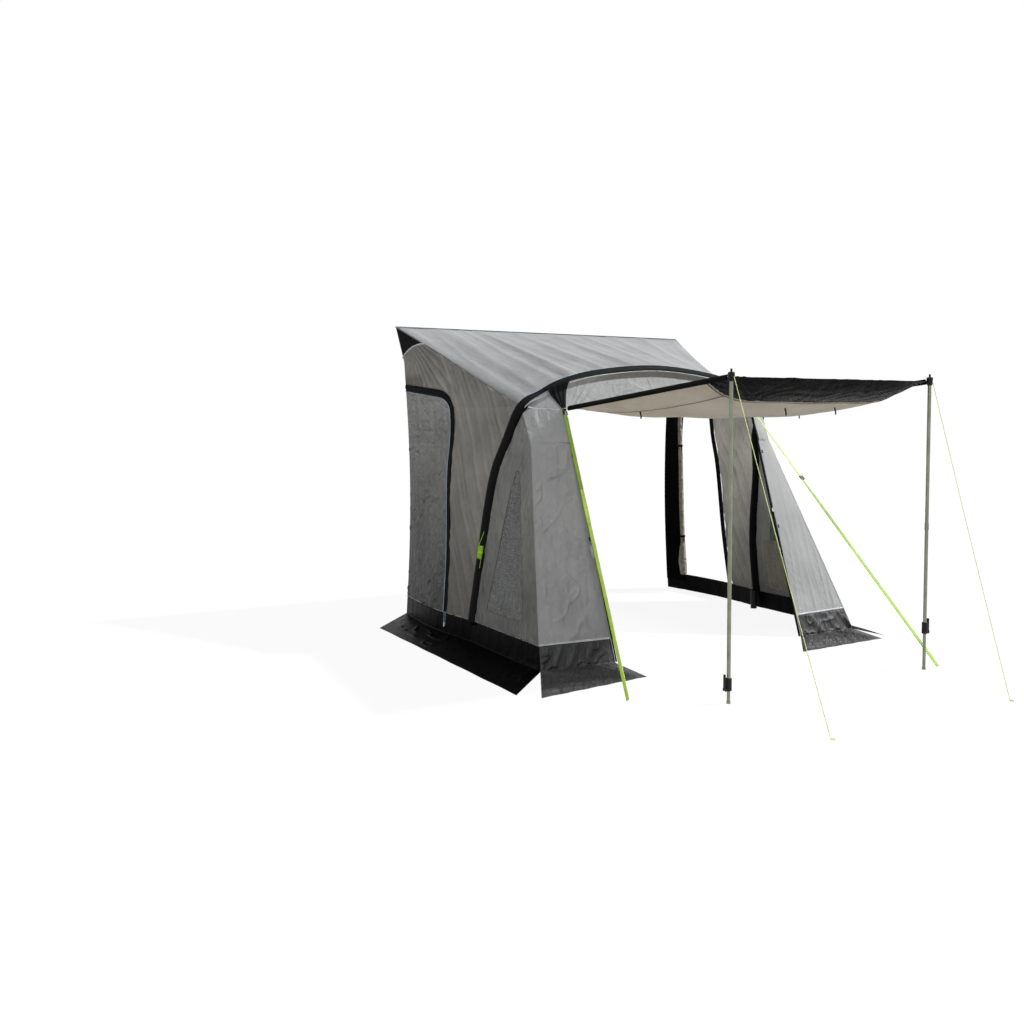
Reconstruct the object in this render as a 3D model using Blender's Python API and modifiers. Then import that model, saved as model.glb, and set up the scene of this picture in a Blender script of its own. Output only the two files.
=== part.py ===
"""Inflatable porch awning for a caravan, pitched, with its front propped out as a canopy.

X runs along the caravan, +Z is up, and the caravan's wall is a plane at the rear, on +Y.
A place is given by how far it stands to the side, how far out from that wall, and how high.
"""

import math

import bmesh
import bpy
import numpy as np
from mathutils import Matrix, Vector

# Overall sizes, in metres
RAIL_HALF = 1.400
RAIL_HEIGHT = 2.330
BASE_HALF = 1.330
BEAM_FOOT_HALF = 1.346
BEAM_FOOT_OUT = 1.220
SHOULDER_HALF = 1.080
SHOULDER_OUT = 1.510
SHOULDER_HEIGHT = 1.665
CROWN_OUT = 1.560
CROWN_RISE = 0.272
CORNER_HALF = 1.355
CORNER_OUT = 2.240
CREASE_HALF = 1.067
CREASE_OUT = 1.619
CREASE_DROP = 0.248
DOORWAY_HALF = 0.807
DOORWAY_OUT = 2.260
HINGE_HALF = 0.839
HINGE_OUT = 1.680
HINGE_DROP = 0.015
POLE_HALF = 0.788
POLE_OUT = 3.339
POLE_HEIGHT = 1.800
MUD_HEIGHT = 0.149

# The arch's crown, the front panel's crease and the canopy's hinge follow the shoulder
CROWN_HEIGHT = SHOULDER_HEIGHT + CROWN_RISE
CREASE_HEIGHT = SHOULDER_HEIGHT - CREASE_DROP
HINGE_HEIGHT = SHOULDER_HEIGHT - HINGE_DROP

# Cloth, gaps, the overrun of cutters and the step at which a surface's slope is read
CLOTH = 0.004
TRIM = 0.0025
GAP = 0.0003
INNER_GAP = 0.0018
OVERRUN = 0.05
NUDGE_SHARE = 0.001

# The rear edge bows in along the caravan and flares out to the rail; the side wall swells outward
REAR_BOW = 0.040
AFT_BILLOW = 0.050
BILLOW_POWER = 4
FLARE_HEIGHT = 2.050
EAVE_SAG = 0.018
EAVE_POWER = 3
BEAD_RADIUS = 0.0035

# The air beam: its leg as (height, inward, forward) shares, its arch as (half, rise) shares
SLEEVE_RADIUS = 0.034
SLEEVE_WALL = 0.0015
BEAM_FOOT_RADIUS = 0.026
LEG_SHARES = [(0.0, 0.0, 0.0), (0.35, 0.311, 0.078), (0.69, 0.512, 0.393), (0.86, 0.795, 0.624),
              (1.0, 1.0, 1.0)]
ARCH_SHARES = [(0.872, 0.29), (0.713, 0.60), (0.43, 0.86), (0.0, 1.0)]
BEAM_STEPS = 3
BEAM_RESOLUTION = 2
BEAM_LAP = 0.006
HEADER_REACH_SHARE = 0.985
VALVE_HEIGHT = 0.420
VALVE_RADIUS = 0.017
VALVE_REACH = 0.016
CAP_RADIUS = 0.020
CAP_LENGTH = 0.010

# Side doors: the outline of the zip band's outer edge
DOOR_FOOT_OUT = 0.878
DOOR_HEAD_OUT = 0.735
DOOR_HEAD_HEIGHT = 1.790
DOOR_REAR_HEIGHT = 1.870
DOOR_CORNER = 0.270
DOOR_CORNER_STEPS = 8
ZIP_BAND = 0.055

# The draught strip inside each rear edge, and the right door rolled up beside it
STRIP_WIDTH = 0.285
STRIP_OVERLAP = 0.060
ROLL_RADIUS = 0.0245
ROLL_OUT = 0.262
ROLL_TOP = 1.760
ROLL_BOTTOM = 0.170
ROLL_SHARES = [(0.0, 1.45), (0.07, 1.80), (0.14, 1.40), (0.18, 1.0), (0.5, 1.05), (0.74, 0.95),
               (0.9, 0.92), (1.0, 0.75)]
ROLL_PINCH = 0.07
ROLL_PINCH_HEIGHT = 0.035
ROLL_POINTS = 36
TIE_HEIGHTS = {"upper": 1.345, "lower": 0.516}
TIE_WIDTH = 0.018
TIE_THICKNESS = 0.0015

# The black gusset below the rail, cut from the side wall
GUSSET_DROP = 0.245
GUSSET_RUN = 0.330
GUSSET_EAVE_DROP = 0.150
GUSSET_STEPS = 6

# The triangular side window and the blind that hangs inside the right one
WINDOW_LOW = 0.250
WINDOW_TOP = 1.225
WINDOW_LOW_REAR = 1.405
WINDOW_LOW_FRONT = 1.916
WINDOW_TOP_OUT = 1.567
WINDOW_TOP_RUN = 0.030
BLIND_TOP = 0.600
BLIND_BOTTOM = 0.190
BLIND_REAR = 1.385
BLIND_FRONT = 1.610
BLIND_FOLD = 0.006
BLIND_FOLDS = 4
BLIND_EASE_SHARE = 0.5

# Ground flaps: the cut width, and how each one lies, as shares of that width
FLAP_WIDTH = 0.412
SIDE_FLAP_SHARES = {"left": ((1.0, 1.13), (0.93, 0.95)), "right": ((1.0, 1.13), (0.04, 0.67))}
FRONT_FLAP_SHARES = {"left": ((0.70, 1.25), (0.08, 0.95)), "right": ((-0.21, 0.84), (-0.81, 0.88))}
FLAP_RIPPLE = 0.007
FLAP_RIPPLES = 5
FLAP_ROWS = 3
MUD_ROWS = 1

# The canopy: how deep it hangs between its straight edges, and the black band along its front
CANOPY_SAG = 0.135
CANOPY_PROFILE_SHARES = [(0.0, 0.0), (0.06, 0.22), (0.2, 0.62), (0.4, 0.92), (0.6, 1.0),
                         (0.8, 0.94), (0.9, 0.78), (0.96, 0.46), (1.0, 0.0)]
CANOPY_BAND = 0.200
CANOPY_EDGE_POWER = 6
CANOPY_RIPPLE = 0.006
CANOPY_RIPPLES = 9

# Zip tapes up the edges of the front doorway, and the sliders
TAPE_WIDTH = 0.018
TAPE_TOP_SHARE = 0.965
SLIDER_LENGTH = 0.030
SLIDER_WIDTH = 0.012
SLIDER_DEPTH = 0.006
SLIDER_BEVEL = 0.0015
SLIDER_LIFT = 0.0009
DOOR_SLIDER_HEIGHT = 0.060
DOOR_SLIDER_RUN = 0.450
FRONT_SLIDER_HEIGHTS = {"left": 1.180, "right": 0.900}

# The dark gusset on the header, its tab, and the buckle and strap that it carries
PATCH_OUTER_SHARE = 0.815
PATCH_INNER_SHARE = 0.665
PATCH_TAB_SHARE = 0.9
PATCH_CURVE = 0.6
TAB_WIDTH = 0.025
TAB_LENGTH = 0.020
BUCKLE_WIDTH = 0.036
BUCKLE_LENGTH = 0.034
BUCKLE_THICKNESS = 0.006
BUCKLE_BAR = 0.005
BUCKLE_BEVEL = 0.001
STRAP_WIDTH = 0.025
STRAP_THICKNESS = 0.0025
STRAP_END_HEIGHT = 0.010
STRAP_ENDS = {"left": (1.255, 3.044), "right": (0.905, 3.350)}
LADDER_SHARE = 0.29

# Poles, turned
TUBE_RADIUS = 0.0110
TUBE_WALL = 0.0012
FERRULE_HEIGHT = 0.900
FERRULE_RADIUS = 0.0130
FERRULE_LENGTH = 0.040
FOOT_LENGTH = 0.600
FOOT_CAP_RADIUS = 0.0115
FOOT_CAP_LENGTH = 0.014
HEAD_RADIUS = 0.019
HEAD_LENGTH = 0.050
HEAD_NECK = 0.014
SPIKE_RADIUS = 0.0060
SPIKE_LENGTH = 0.018
HEAD_BEVEL = 0.004
CLAMP_BOTTOMS = {"left": 0.072, "right": 0.228}
CLAMP_RADIUS = 0.0175
CLAMP_LENGTH = 0.071
CLAMP_LIP = 0.004
CLAMP_BEVEL = 0.002
LUG_THICKNESS = 0.003
LUG_HEIGHT = 0.018
LEVER_WIDTH = 0.014
LEVER_THICKNESS = 0.0070
LEVER_LENGTH = 0.084
LEVER_BARREL = 0.0075
PIN_RADIUS = 0.0016
ROUND_STEPS = 16

# Guy lines, and the hank of spare guy line tied to the left leg
GUY_RADIUS = 0.0020
GUY_ENDS = {"left": (0.760, 4.060), "right": (0.620, 4.050)}
GUY_END_HEIGHT = 0.006
GUY_SAG = 0.012
GUY_POINTS = 16
HANK_CORD_RADIUS = 0.0018
HANK_TURNS = 6
HANK_PITCH = 0.0048
HANK_HALF_RUN = 0.036
HANK_BEND = 0.011
HANK_BEND_STEPS = 8
HANK_HEIGHT = 0.640
HANK_LEAD = 0.150
HANK_TAIL = 0.075
HANK_LEAD_STEPS = 8
HANK_CLEARANCE = 0.002
HANK_TURN = math.radians(45)
HANK_SINK = 0.0012

# How many columns and rows each cloth has
ROOF_GRID = (18, 7)
HEADER_GRID = (24, 2)
CANOPY_GRID = (16, 9)
BAND_GRID = (16, 3)
AFT_GRID = (12, 12)
STRIP_GRID = (3, 12)
FORE_GRID = (5, 10)
FRONT_GRID = (7, 12)
SIDE_FOOT_COLUMNS = 24
FRONT_FOOT_COLUMNS = 12
TAPE_GRID = (1, 6)
PATCH_GRID = (2, 20)
BLIND_GRID = (24, 2)

WALL_Y = (POLE_OUT + HEAD_RADIUS) / 2
SIDES = {"left": -1, "right": 1}
UP = Vector((0, 0, 1))
FORWARD = Vector((0, -1, 0))


def clear_scene():
    for item in list(bpy.data.objects):
        bpy.data.objects.remove(item, do_unlink=True)


def new_collection(name):
    collection = bpy.data.collections.new(name)
    bpy.context.scene.collection.children.link(collection)
    return collection


clear_scene()
PARTS = new_collection("caravan_awning")
CUTTERS = new_collection("cutters")


def make_material(name, colour, roughness, metallic=0.0):
    made = bpy.data.materials.new(name)
    made.use_nodes = True
    shader = made.node_tree.nodes["Principled BSDF"]
    shader.inputs["Base Color"].default_value = (*colour, 1.0)
    shader.inputs["Roughness"].default_value = roughness
    shader.inputs["Metallic"].default_value = metallic
    return made


LOOKS = {
    "roof_cloth": ((0.39, 0.39, 0.40), 0.75, 0.0),
    "side_cloth": ((0.20, 0.19, 0.17), 0.80, 0.0),
    "front_cloth": ((0.30, 0.30, 0.30), 0.78, 0.0),
    "mud_cloth": ((0.012, 0.012, 0.013), 0.40, 0.0),
    "black_webbing": ((0.010, 0.010, 0.011), 0.65, 0.0),
    "window_mesh": ((0.05, 0.05, 0.05), 0.60, 0.0),
    "blind_cloth": ((0.33, 0.30, 0.26), 0.80, 0.0),
    "black_plastic": ((0.012, 0.012, 0.012), 0.45, 0.0),
    "zip_metal": ((0.55, 0.56, 0.58), 0.35, 1.0),
    "pole_steel": ((0.30, 0.31, 0.26), 0.40, 1.0),
    "bladder_film": ((0.80, 0.80, 0.78), 0.35, 0.0),
    "green_webbing": ((0.30, 0.75, 0.03), 0.60, 0.0),
    "guy_cord": ((0.70, 0.85, 0.15), 0.60, 0.0),
}


def look(name, piece):
    """Give a piece its own material, named for the piece."""
    piece.data.materials.append(make_material(piece.name + "_" + name, *LOOKS[name]))


def add_object(name, data, collection=PARTS):
    made = bpy.data.objects.new(name, data)
    collection.objects.link(made)
    if collection is CUTTERS:
        made.hide_render = True
        made.display_type = "WIRE"
    return made


def mix(first, second, share):
    return first + (second - first) * share


def place(half, out, height):
    return Vector((half, WALL_Y - out, height))


def mirrored(point, side):
    return Vector((point.x * side, point.y, point.z))


def smooth_path(points, steps):
    """Points along a Catmull-Rom curve through the given ones."""
    ends = [points[0] * 2 - points[1], *points, points[-1] * 2 - points[-2]]
    path = []
    for start in range(1, len(ends) - 2):
        before, first, second, after = ends[start - 1:start + 3]
        for step in range(steps):
            t = step / steps
            path.append((first * 2 + (second - before) * t
                         + (before * 2 - first * 5 + second * 4 - after) * t ** 2
                         + (first * 3 - before - second * 3 + after) * t ** 3) / 2)
    path.append(points[-1])
    return path


def leg_points():
    """The right leg of the air beam, from the ground up to the shoulder."""
    return [place(mix(BEAM_FOOT_HALF, SHOULDER_HALF, inward),
                  mix(BEAM_FOOT_OUT, SHOULDER_OUT, forward), SHOULDER_HEIGHT * height)
            for height, inward, forward in LEG_SHARES]


def arch_points():
    """The right half of the arch, from beside the shoulder to the crown."""
    return [place(SHOULDER_HALF * half, mix(SHOULDER_OUT, CROWN_OUT, rise),
                  mix(SHOULDER_HEIGHT, CROWN_HEIGHT, rise)) for half, rise in ARCH_SHARES]


HALF_BEAM = leg_points() + arch_points()
BEAM_PATH = smooth_path(HALF_BEAM + [mirrored(point, -1) for point in HALF_BEAM[-2::-1]], BEAM_STEPS)
LEG_PATH = BEAM_PATH[:(len(LEG_SHARES) - 1) * BEAM_STEPS + 1]
ARCH_PATH = BEAM_PATH[(len(LEG_SHARES) - 1) * BEAM_STEPS:-(len(LEG_SHARES) - 1) * BEAM_STEPS][::-1]


def along(path, keys, value):
    """The point of a path whose key coordinate has the given value, ends held."""
    return Vector([float(np.interp(value, keys, [point[axis] for point in path])) for axis in range(3)])


def on_leg(height):
    point = along(LEG_PATH, [point.z for point in LEG_PATH], height)
    return Vector((point.x, point.y, height))


def on_arch(half):
    return along(ARCH_PATH, [point.x for point in ARCH_PATH], half)


def rear_half(height):
    """How far to the side the rear edge stands at a height."""
    if height < FLARE_HEIGHT:
        return BASE_HALF - REAR_BOW * math.sin(math.pi * height / FLARE_HEIGHT)
    return mix(BASE_HALF, RAIL_HALF, (height - FLARE_HEIGHT) / (RAIL_HEIGHT - FLARE_HEIGHT))


def eave_height(share):
    return mix(RAIL_HEIGHT, SHOULDER_HEIGHT, share) - EAVE_SAG * math.sin(math.pi * share)


def on_aft(share, height):
    """The right side wall between the caravan, share 0, and the air beam, share 1."""
    point = mix(place(rear_half(height), 0, height), on_leg(height), share)
    slack = 1 - min(1.0, height / eave_height(share)) ** BILLOW_POWER
    return Vector((point.x + AFT_BILLOW * math.sin(math.pi * share) * slack, point.y, height))


def on_corner(height):
    """The ridge between the side wall and the front panel."""
    foot = place(CORNER_HALF, CORNER_OUT, 0)
    crease = place(CREASE_HALF, CREASE_OUT, CREASE_HEIGHT)
    if height < CREASE_HEIGHT:
        return mix(foot, crease, height / CREASE_HEIGHT)
    top = place(SHOULDER_HALF, SHOULDER_OUT, SHOULDER_HEIGHT)
    return mix(crease, top, (height - CREASE_HEIGHT) / (SHOULDER_HEIGHT - CREASE_HEIGHT))


def on_fore(share, height):
    """The right side wall between the air beam, share 0, and the corner ridge, share 1."""
    return mix(on_leg(height), on_corner(height), share)


def on_doorway(height):
    """The edge of the front panel beside the open doorway."""
    return mix(place(DOORWAY_HALF, DOORWAY_OUT, 0), place(HINGE_HALF, HINGE_OUT, HINGE_HEIGHT),
               height / HINGE_HEIGHT)


def on_front(share, height):
    """The right front panel, from the ridge to the doorway, creased across its upper corner."""
    foot = place(CORNER_HALF, CORNER_OUT, 0)
    crease = place(CREASE_HALF, CREASE_OUT, CREASE_HEIGHT)
    hinge = place(HINGE_HALF, HINGE_OUT, HINGE_HEIGHT)
    shoulder = place(SHOULDER_HALF, SHOULDER_OUT, SHOULDER_HEIGHT)
    ridge = on_corner(height)
    edge = on_doorway(height)
    point = mix(ridge, edge, share)
    if height < CREASE_HEIGHT:
        return Vector((point.x, point.y, height))
    lower = mix(mix(foot, crease, height / CREASE_HEIGHT), edge, share)
    normal = (crease - hinge).cross(shoulder - hinge)

    def corner_plane(x, z):
        return hinge.y - (normal.x * (x - hinge.x) + normal.z * (z - hinge.z)) / normal.y
    nearer = min if corner_plane(foot.x, foot.z) > foot.y else max
    return Vector((point.x, nearer(lower.y, corner_plane(point.x, height)), height))


def on_header(share, drop):
    """The panel below the arch: share runs -1 to 1 along it, drop 0 to 1 from arch to canopy."""
    top = on_arch(SHOULDER_HALF * share)
    half = SHOULDER_HALF * abs(share)
    hinge = place(min(half, HINGE_HALF), HINGE_OUT, HINGE_HEIGHT)
    shoulder = place(SHOULDER_HALF, SHOULDER_OUT, SHOULDER_HEIGHT)
    low = mix(hinge, shoulder, max(0.0, half - HINGE_HALF) / (SHOULDER_HALF - HINGE_HALF))
    return mix(top, mirrored(low, -1 if share < 0 else 1), drop)


def lifted(surface, lift):
    """A surface moved by lift along its normal, the side of which lift's sign picks."""
    def moved(u, v):
        along_u = surface(u + NUDGE_SHARE, v) - surface(u - NUDGE_SHARE, v)
        along_v = surface(u, v + NUDGE_SHARE) - surface(u, v - NUDGE_SHARE)
        return surface(u, v) + along_u.cross(along_v).normalized() * lift
    return moved


def spanned(surface, first, last, low, high):
    """A surface read over part of its shares, as a unit patch; low and high may follow u."""
    def patch(u, v):
        across = mix(first, last, u)
        start = low(across) if callable(low) else low
        end = high(across) if callable(high) else high
        return surface(across, mix(start, end, v))
    return patch


def sheet(name, surface, columns_rows, outward, cloth=None, thickness=CLOTH, swell=0.0,
          collection=PARTS):
    """A sheet of cloth laid on a unit patch, thickened inwards; swell grows it as a cutter."""
    mesh = bpy.data.meshes.new(name)
    grid = bmesh.new()
    columns, rows = columns_rows
    bmesh.ops.create_grid(grid, x_segments=columns, y_segments=rows, size=0.5)
    for vertex in grid.verts:
        vertex.co = surface(vertex.co.x + 0.5, vertex.co.y + 0.5)
    grid.normal_update()
    if sum((face.normal * face.calc_area() for face in grid.faces), Vector()).dot(outward) < 0:
        bmesh.ops.reverse_faces(grid, faces=grid.faces)
    grid.to_mesh(mesh)
    grid.free()
    made = add_object(name, mesh, collection)
    shell = made.modifiers.new("cloth", "SOLIDIFY")
    shell.thickness = thickness + 2 * swell
    shell.offset = -1 + 2 * swell / shell.thickness
    shell.use_even_offset = True
    if cloth:
        look(cloth, made)
    return made


def boolean(piece, other, operation="DIFFERENCE"):
    step = piece.modifiers.new(operation.lower(), "BOOLEAN")
    step.object = other
    step.operation = operation
    step.solver = "EXACT"


def curve_object(name, points, radius, resolution, radii=None, collection=PARTS):
    """A round tube along points, with filled ends."""
    curve = bpy.data.curves.new(name, "CURVE")
    curve.dimensions = "3D"
    curve.bevel_depth = radius
    curve.bevel_resolution = resolution
    curve.use_fill_caps = True
    spline = curve.splines.new("POLY")
    spline.points.add(len(points) - 1)
    for index, point in enumerate(points):
        spline.points[index].co = (*point, 1)
        spline.points[index].radius = radii[index] if radii else 1.0
    return add_object(name, curve, collection)


def meshed(source, collection):
    """Turn a curve object into a mesh object of the same name, its caps welded."""
    name = source.name
    bpy.context.view_layer.update()
    mesh = bpy.data.meshes.new_from_object(source.evaluated_get(bpy.context.evaluated_depsgraph_get()))
    weld = bmesh.new()
    weld.from_mesh(mesh)
    bmesh.ops.remove_doubles(weld, verts=weld.verts, dist=GAP / 10)
    bmesh.ops.recalc_face_normals(weld, faces=weld.faces)
    weld.to_mesh(mesh)
    weld.free()
    matrix = source.matrix_world.copy()
    bpy.data.objects.remove(source, do_unlink=True)
    made = add_object(name, mesh, collection)
    made.matrix_world = matrix
    return made


def outline_cutter(name, outline, side):
    """A flat (out, height) outline carried right through one side wall."""
    curve = bpy.data.curves.new(name, "CURVE")
    curve.dimensions = "2D"
    curve.fill_mode = "BOTH"
    curve.extrude = BASE_HALF / 2
    spline = curve.splines.new("POLY")
    spline.points.add(len(outline) - 1)
    spline.use_cyclic_u = True
    for index, (out, height) in enumerate(outline):
        spline.points[index].co = (out, height, 0, 1)
    made = add_object(name, curve, CUTTERS)
    made.rotation_euler = (math.pi / 2, 0, -math.pi / 2)
    made.location = place(side * BASE_HALF, 0, 0)
    return meshed(made, CUTTERS)


def box_object(name, size, centre, collection=PARTS, bevel=0.0):
    """A block, its edges cut back by bevel."""
    mesh = bpy.data.meshes.new(name)
    cube = bmesh.new()
    bmesh.ops.create_cube(cube, size=1)
    bmesh.ops.scale(cube, vec=size, verts=cube.verts)
    cube.to_mesh(mesh)
    cube.free()
    made = add_object(name, mesh, collection)
    made.location = centre
    if bevel:
        edge = made.modifiers.new("edges", "BEVEL")
        edge.width = bevel
        edge.segments = 1
        edge.limit_method = "ANGLE"
    return made


def rod_object(name, radius, length, centre, axis, collection=PARTS, steps=ROUND_STEPS):
    mesh = bpy.data.meshes.new(name)
    rod = bmesh.new()
    bmesh.ops.create_cone(rod, cap_ends=True, segments=steps, radius1=radius, radius2=radius,
                          depth=length)
    rod.to_mesh(mesh)
    rod.free()
    made = add_object(name, mesh, collection)
    made.location = centre
    made.rotation_mode = "QUATERNION"
    made.rotation_quaternion = Vector(axis).to_track_quat("Z", "Y")
    return made


def turned(name, profile, centre, closed, steps=ROUND_STEPS):
    """A profile of (radius, height) points, top to bottom on its outer side, turned about Z."""
    mesh = bpy.data.meshes.new(name)
    line = bmesh.new()
    points = [line.verts.new((radius, 0, height)) for radius, height in profile]
    for first, second in zip(points, points[1:]):
        line.edges.new((first, second))
    if closed:
        line.edges.new((points[-1], points[0]))
    line.to_mesh(mesh)
    line.free()
    made = add_object(name, mesh)
    made.location = centre
    turn = made.modifiers.new("turn", "SCREW")
    turn.steps = steps
    turn.render_steps = steps
    turn.use_merge_vertices = True
    turn.merge_threshold = 0.00001
    return made


def hang_on_axis(name, location, *pieces):
    """Parent pieces to an empty on their joint's axis."""
    pivot = bpy.data.objects.new(name, None)
    pivot.location = location
    PARTS.objects.link(pivot)
    bpy.context.view_layer.update()
    for piece in pieces:
        piece.parent = pivot
        piece.matrix_parent_inverse = pivot.matrix_world.inverted()


# The air beam and what belongs to it

def beam_tube(name, radius, collection=PARTS, path=BEAM_PATH):
    return meshed(curve_object(name, path, radius, BEAM_RESOLUTION, collection=collection), collection)


BEAM_CUTTER = beam_tube("beam_space", SLEEVE_RADIUS + GAP, CUTTERS)


def below_sleeve(name, top):
    """A block that trims the beam's parts level at a height above the ground."""
    depth = SHOULDER_HEIGHT / 2
    size = (3 * RAIL_HALF, 2 * CORNER_OUT, depth)
    return box_object(name, size, place(0, CORNER_OUT / 2, top - depth / 2), CUTTERS)


def build_beam():
    sleeve = beam_tube("beam_sleeve", SLEEVE_RADIUS)
    inside = beam_tube("sleeve_bore", SLEEVE_RADIUS - SLEEVE_WALL, CUTTERS)
    boolean(sleeve, inside)
    boolean(sleeve, below_sleeve("sleeve_trim", MUD_HEIGHT + GAP))
    look("black_webbing", sleeve)
    bladder = beam_tube("air_bladder", SLEEVE_RADIUS - SLEEVE_WALL - GAP)
    boolean(bladder, below_sleeve("bladder_trim", MUD_HEIGHT + GAP + SLEEVE_WALL))
    look("bladder_film", bladder)
    for word, side in SIDES.items():
        inside_wall = on_leg(MUD_HEIGHT).x - BEAM_FOOT_RADIUS - CLOTH - 2 * GAP
        centre = place(side * inside_wall, BEAM_FOOT_OUT, MUD_HEIGHT / 2)
        foot = rod_object("beam_foot_" + word, BEAM_FOOT_RADIUS, MUD_HEIGHT, centre, UP)
        look("black_plastic", foot)


def build_valve():
    """The inflation valve on the inner side of the left leg, and its screw cap."""
    start = mirrored(on_leg(VALVE_HEIGHT), -1)
    inward = Vector((1, 0, 0))
    length = SLEEVE_RADIUS + VALVE_REACH
    valve = rod_object("inflation_valve", VALVE_RADIUS, length, start + inward * length / 2, inward)
    boolean(valve, BEAM_CUTTER)
    look("black_plastic", valve)
    centre = start + inward * (length + GAP + CAP_LENGTH / 2)
    cap = rod_object("valve_cap", CAP_RADIUS, CAP_LENGTH, centre, inward)
    look("black_plastic", cap)


# Roof, header and canopy

def on_roof(share, out_share):
    rail = place(RAIL_HALF * share, 2 * BEAD_RADIUS + GAP, RAIL_HEIGHT)
    point = mix(rail, on_arch(SHOULDER_HALF * share), out_share)
    straight = mix(place(RAIL_HALF, 0, RAIL_HEIGHT),
                   place(SHOULDER_HALF, SHOULDER_OUT, SHOULDER_HEIGHT), out_share)
    eave = on_aft(out_share, eave_height(out_share))
    side = -1 if share < 0 else 1
    return point + mirrored(eave - straight, side) * abs(share) ** EAVE_POWER


def build_roof():
    roof = sheet("roof_panel", lambda u, v: on_roof(2 * u - 1, v), ROOF_GRID, UP, "roof_cloth")
    boolean(roof, BEAM_CUTTER)
    over = 1 + 2 * GAP / SHOULDER_HALF
    rear = -2 * GAP / SHOULDER_OUT

    def widened(u, v):
        point = on_roof(2 * u - 1, mix(rear, 1.0, v))
        return Vector((point.x * over, point.y, point.z))
    cover = sheet("roof_space", widened, ROOF_GRID, UP, swell=2 * GAP, collection=CUTTERS)
    ends = [place(side * (RAIL_HALF - 2 * CLOTH), BEAD_RADIUS, RAIL_HEIGHT) for side in SIDES.values()]
    bead = curve_object("rail_bead", ends, BEAD_RADIUS, 2)
    look("black_webbing", bead)
    return cover


def build_header():
    """The header under the arch, kept whole from shoulder to shoulder."""
    reach = HEADER_REACH_SHARE
    patch = spanned(on_header, -reach, reach, 0.0, 1.0)
    header = sheet("header_panel", patch, HEADER_GRID, FORWARD, "front_cloth")
    boolean(header, BEAM_CUTTER)
    longer = spanned(on_header, -reach, reach, 0.0, 1 + GAP / (CROWN_HEIGHT - HINGE_HEIGHT))
    return sheet("header_space", longer, HEADER_GRID, FORWARD, swell=GAP, collection=CUTTERS)


def canopy_sag(across, share):
    keys, depths = zip(*CANOPY_PROFILE_SHARES)
    depth = float(np.interp(share, keys, depths))
    ripple = CANOPY_RIPPLE * math.cos(CANOPY_RIPPLES * across) * math.sin(math.pi * share)
    return (CANOPY_SAG * depth + ripple) * (1 - abs(across) ** CANOPY_EDGE_POWER)


def on_canopy(across, share):
    """The canopy: across runs -1 to 1, share 0 at the header to 1 at the poles."""
    rear = HINGE_HALF - TAB_WIDTH / 2 - CLOTH / 2
    start = place(across * rear, HINGE_OUT + 2 * GAP, HINGE_HEIGHT)
    point = mix(start, place(across * POLE_HALF, POLE_OUT, POLE_HEIGHT), share)
    return point - UP * canopy_sag(across, share)


def build_canopy():
    span = POLE_OUT - HINGE_OUT
    seam = 1 - CANOPY_BAND / span
    rear = spanned(on_canopy, -1, 1, 0.0, seam)
    front = spanned(on_canopy, -1, 1, seam + GAP / span, 1.0)
    sheet("canopy_sheet", rear, CANOPY_GRID, UP, "front_cloth")
    band = sheet("canopy_band", front, BAND_GRID, UP, "mud_cloth")
    for word, side in SIDES.items():
        centre = place(side * POLE_HALF, POLE_OUT, POLE_HEIGHT)
        space = rod_object("head_space_" + word, HEAD_RADIUS + GAP, 2 * HEAD_LENGTH, centre, UP, CUTTERS)
        boolean(band, space)


# Side walls

def door_outline(inset):
    """The door's edge in (out, height), its upper corner round, drawn in by inset."""
    foot = Vector((DOOR_FOOT_OUT - inset, 0))
    head = Vector((DOOR_HEAD_OUT - inset, DOOR_HEAD_HEIGHT - inset))
    rear = Vector((0, DOOR_REAR_HEIGHT - inset))
    radius = DOOR_CORNER - inset
    down = (foot - head).normalized()
    back = (rear - head).normalized()
    tangent = radius / math.tan(down.angle(back) / 2)
    start = head + down * tangent
    end = head + back * tangent
    corner = []
    for step in range(DOOR_CORNER_STEPS + 1):
        share = step / DOOR_CORNER_STEPS
        corner.append(mix(mix(start, head, share), mix(head, end, share), share))
    beyond = rear + back * OVERRUN
    return [(-OVERRUN, 0), tuple(foot)] + [tuple(point) for point in corner] + [tuple(beyond)]


def gusset_outline(inset):
    """The corner below the rail, bounded by a curve from the rear edge to the eave."""
    low = Vector((-OVERRUN, RAIL_HEIGHT - GUSSET_DROP + inset))
    reach = GUSSET_RUN - inset
    high = Vector((reach, eave_height(reach / SHOULDER_OUT)))
    bulge = Vector((reach / 2, RAIL_HEIGHT - GUSSET_EAVE_DROP + inset))
    curve = []
    for step in range(GUSSET_STEPS + 1):
        share = step / GUSSET_STEPS
        curve.append(mix(mix(low, bulge, share), mix(bulge, high, share), share))
    return [tuple(point) for point in curve] + [(reach, RAIL_HEIGHT + OVERRUN),
                                                (-OVERRUN, RAIL_HEIGHT + OVERRUN)]


def window_outline(inset):
    run = WINDOW_TOP_RUN / 2
    low = WINDOW_LOW + inset
    high = WINDOW_TOP - inset
    return [(WINDOW_LOW_REAR + inset, low), (WINDOW_LOW_FRONT - 2 * inset, low),
            (WINDOW_TOP_OUT + run - inset, high), (WINDOW_TOP_OUT - run + inset, high)]


def sided(surface, side):
    return lambda u, v: mirrored(surface(u, v), side)


def aft_patch():
    """The aft wall above the mud wall, lapping a little past the beam's centre line."""
    return spanned(on_aft, 0.0, 1 + BEAM_LAP / SHOULDER_OUT, MUD_HEIGHT + GAP, eave_height)


def inner_face(surface):
    """The face that lies against the inside of a cloth panel of the right wall."""
    return lambda u, v: surface(u, v) - Vector((CLOTH + INNER_GAP, 0, 0))


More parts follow.
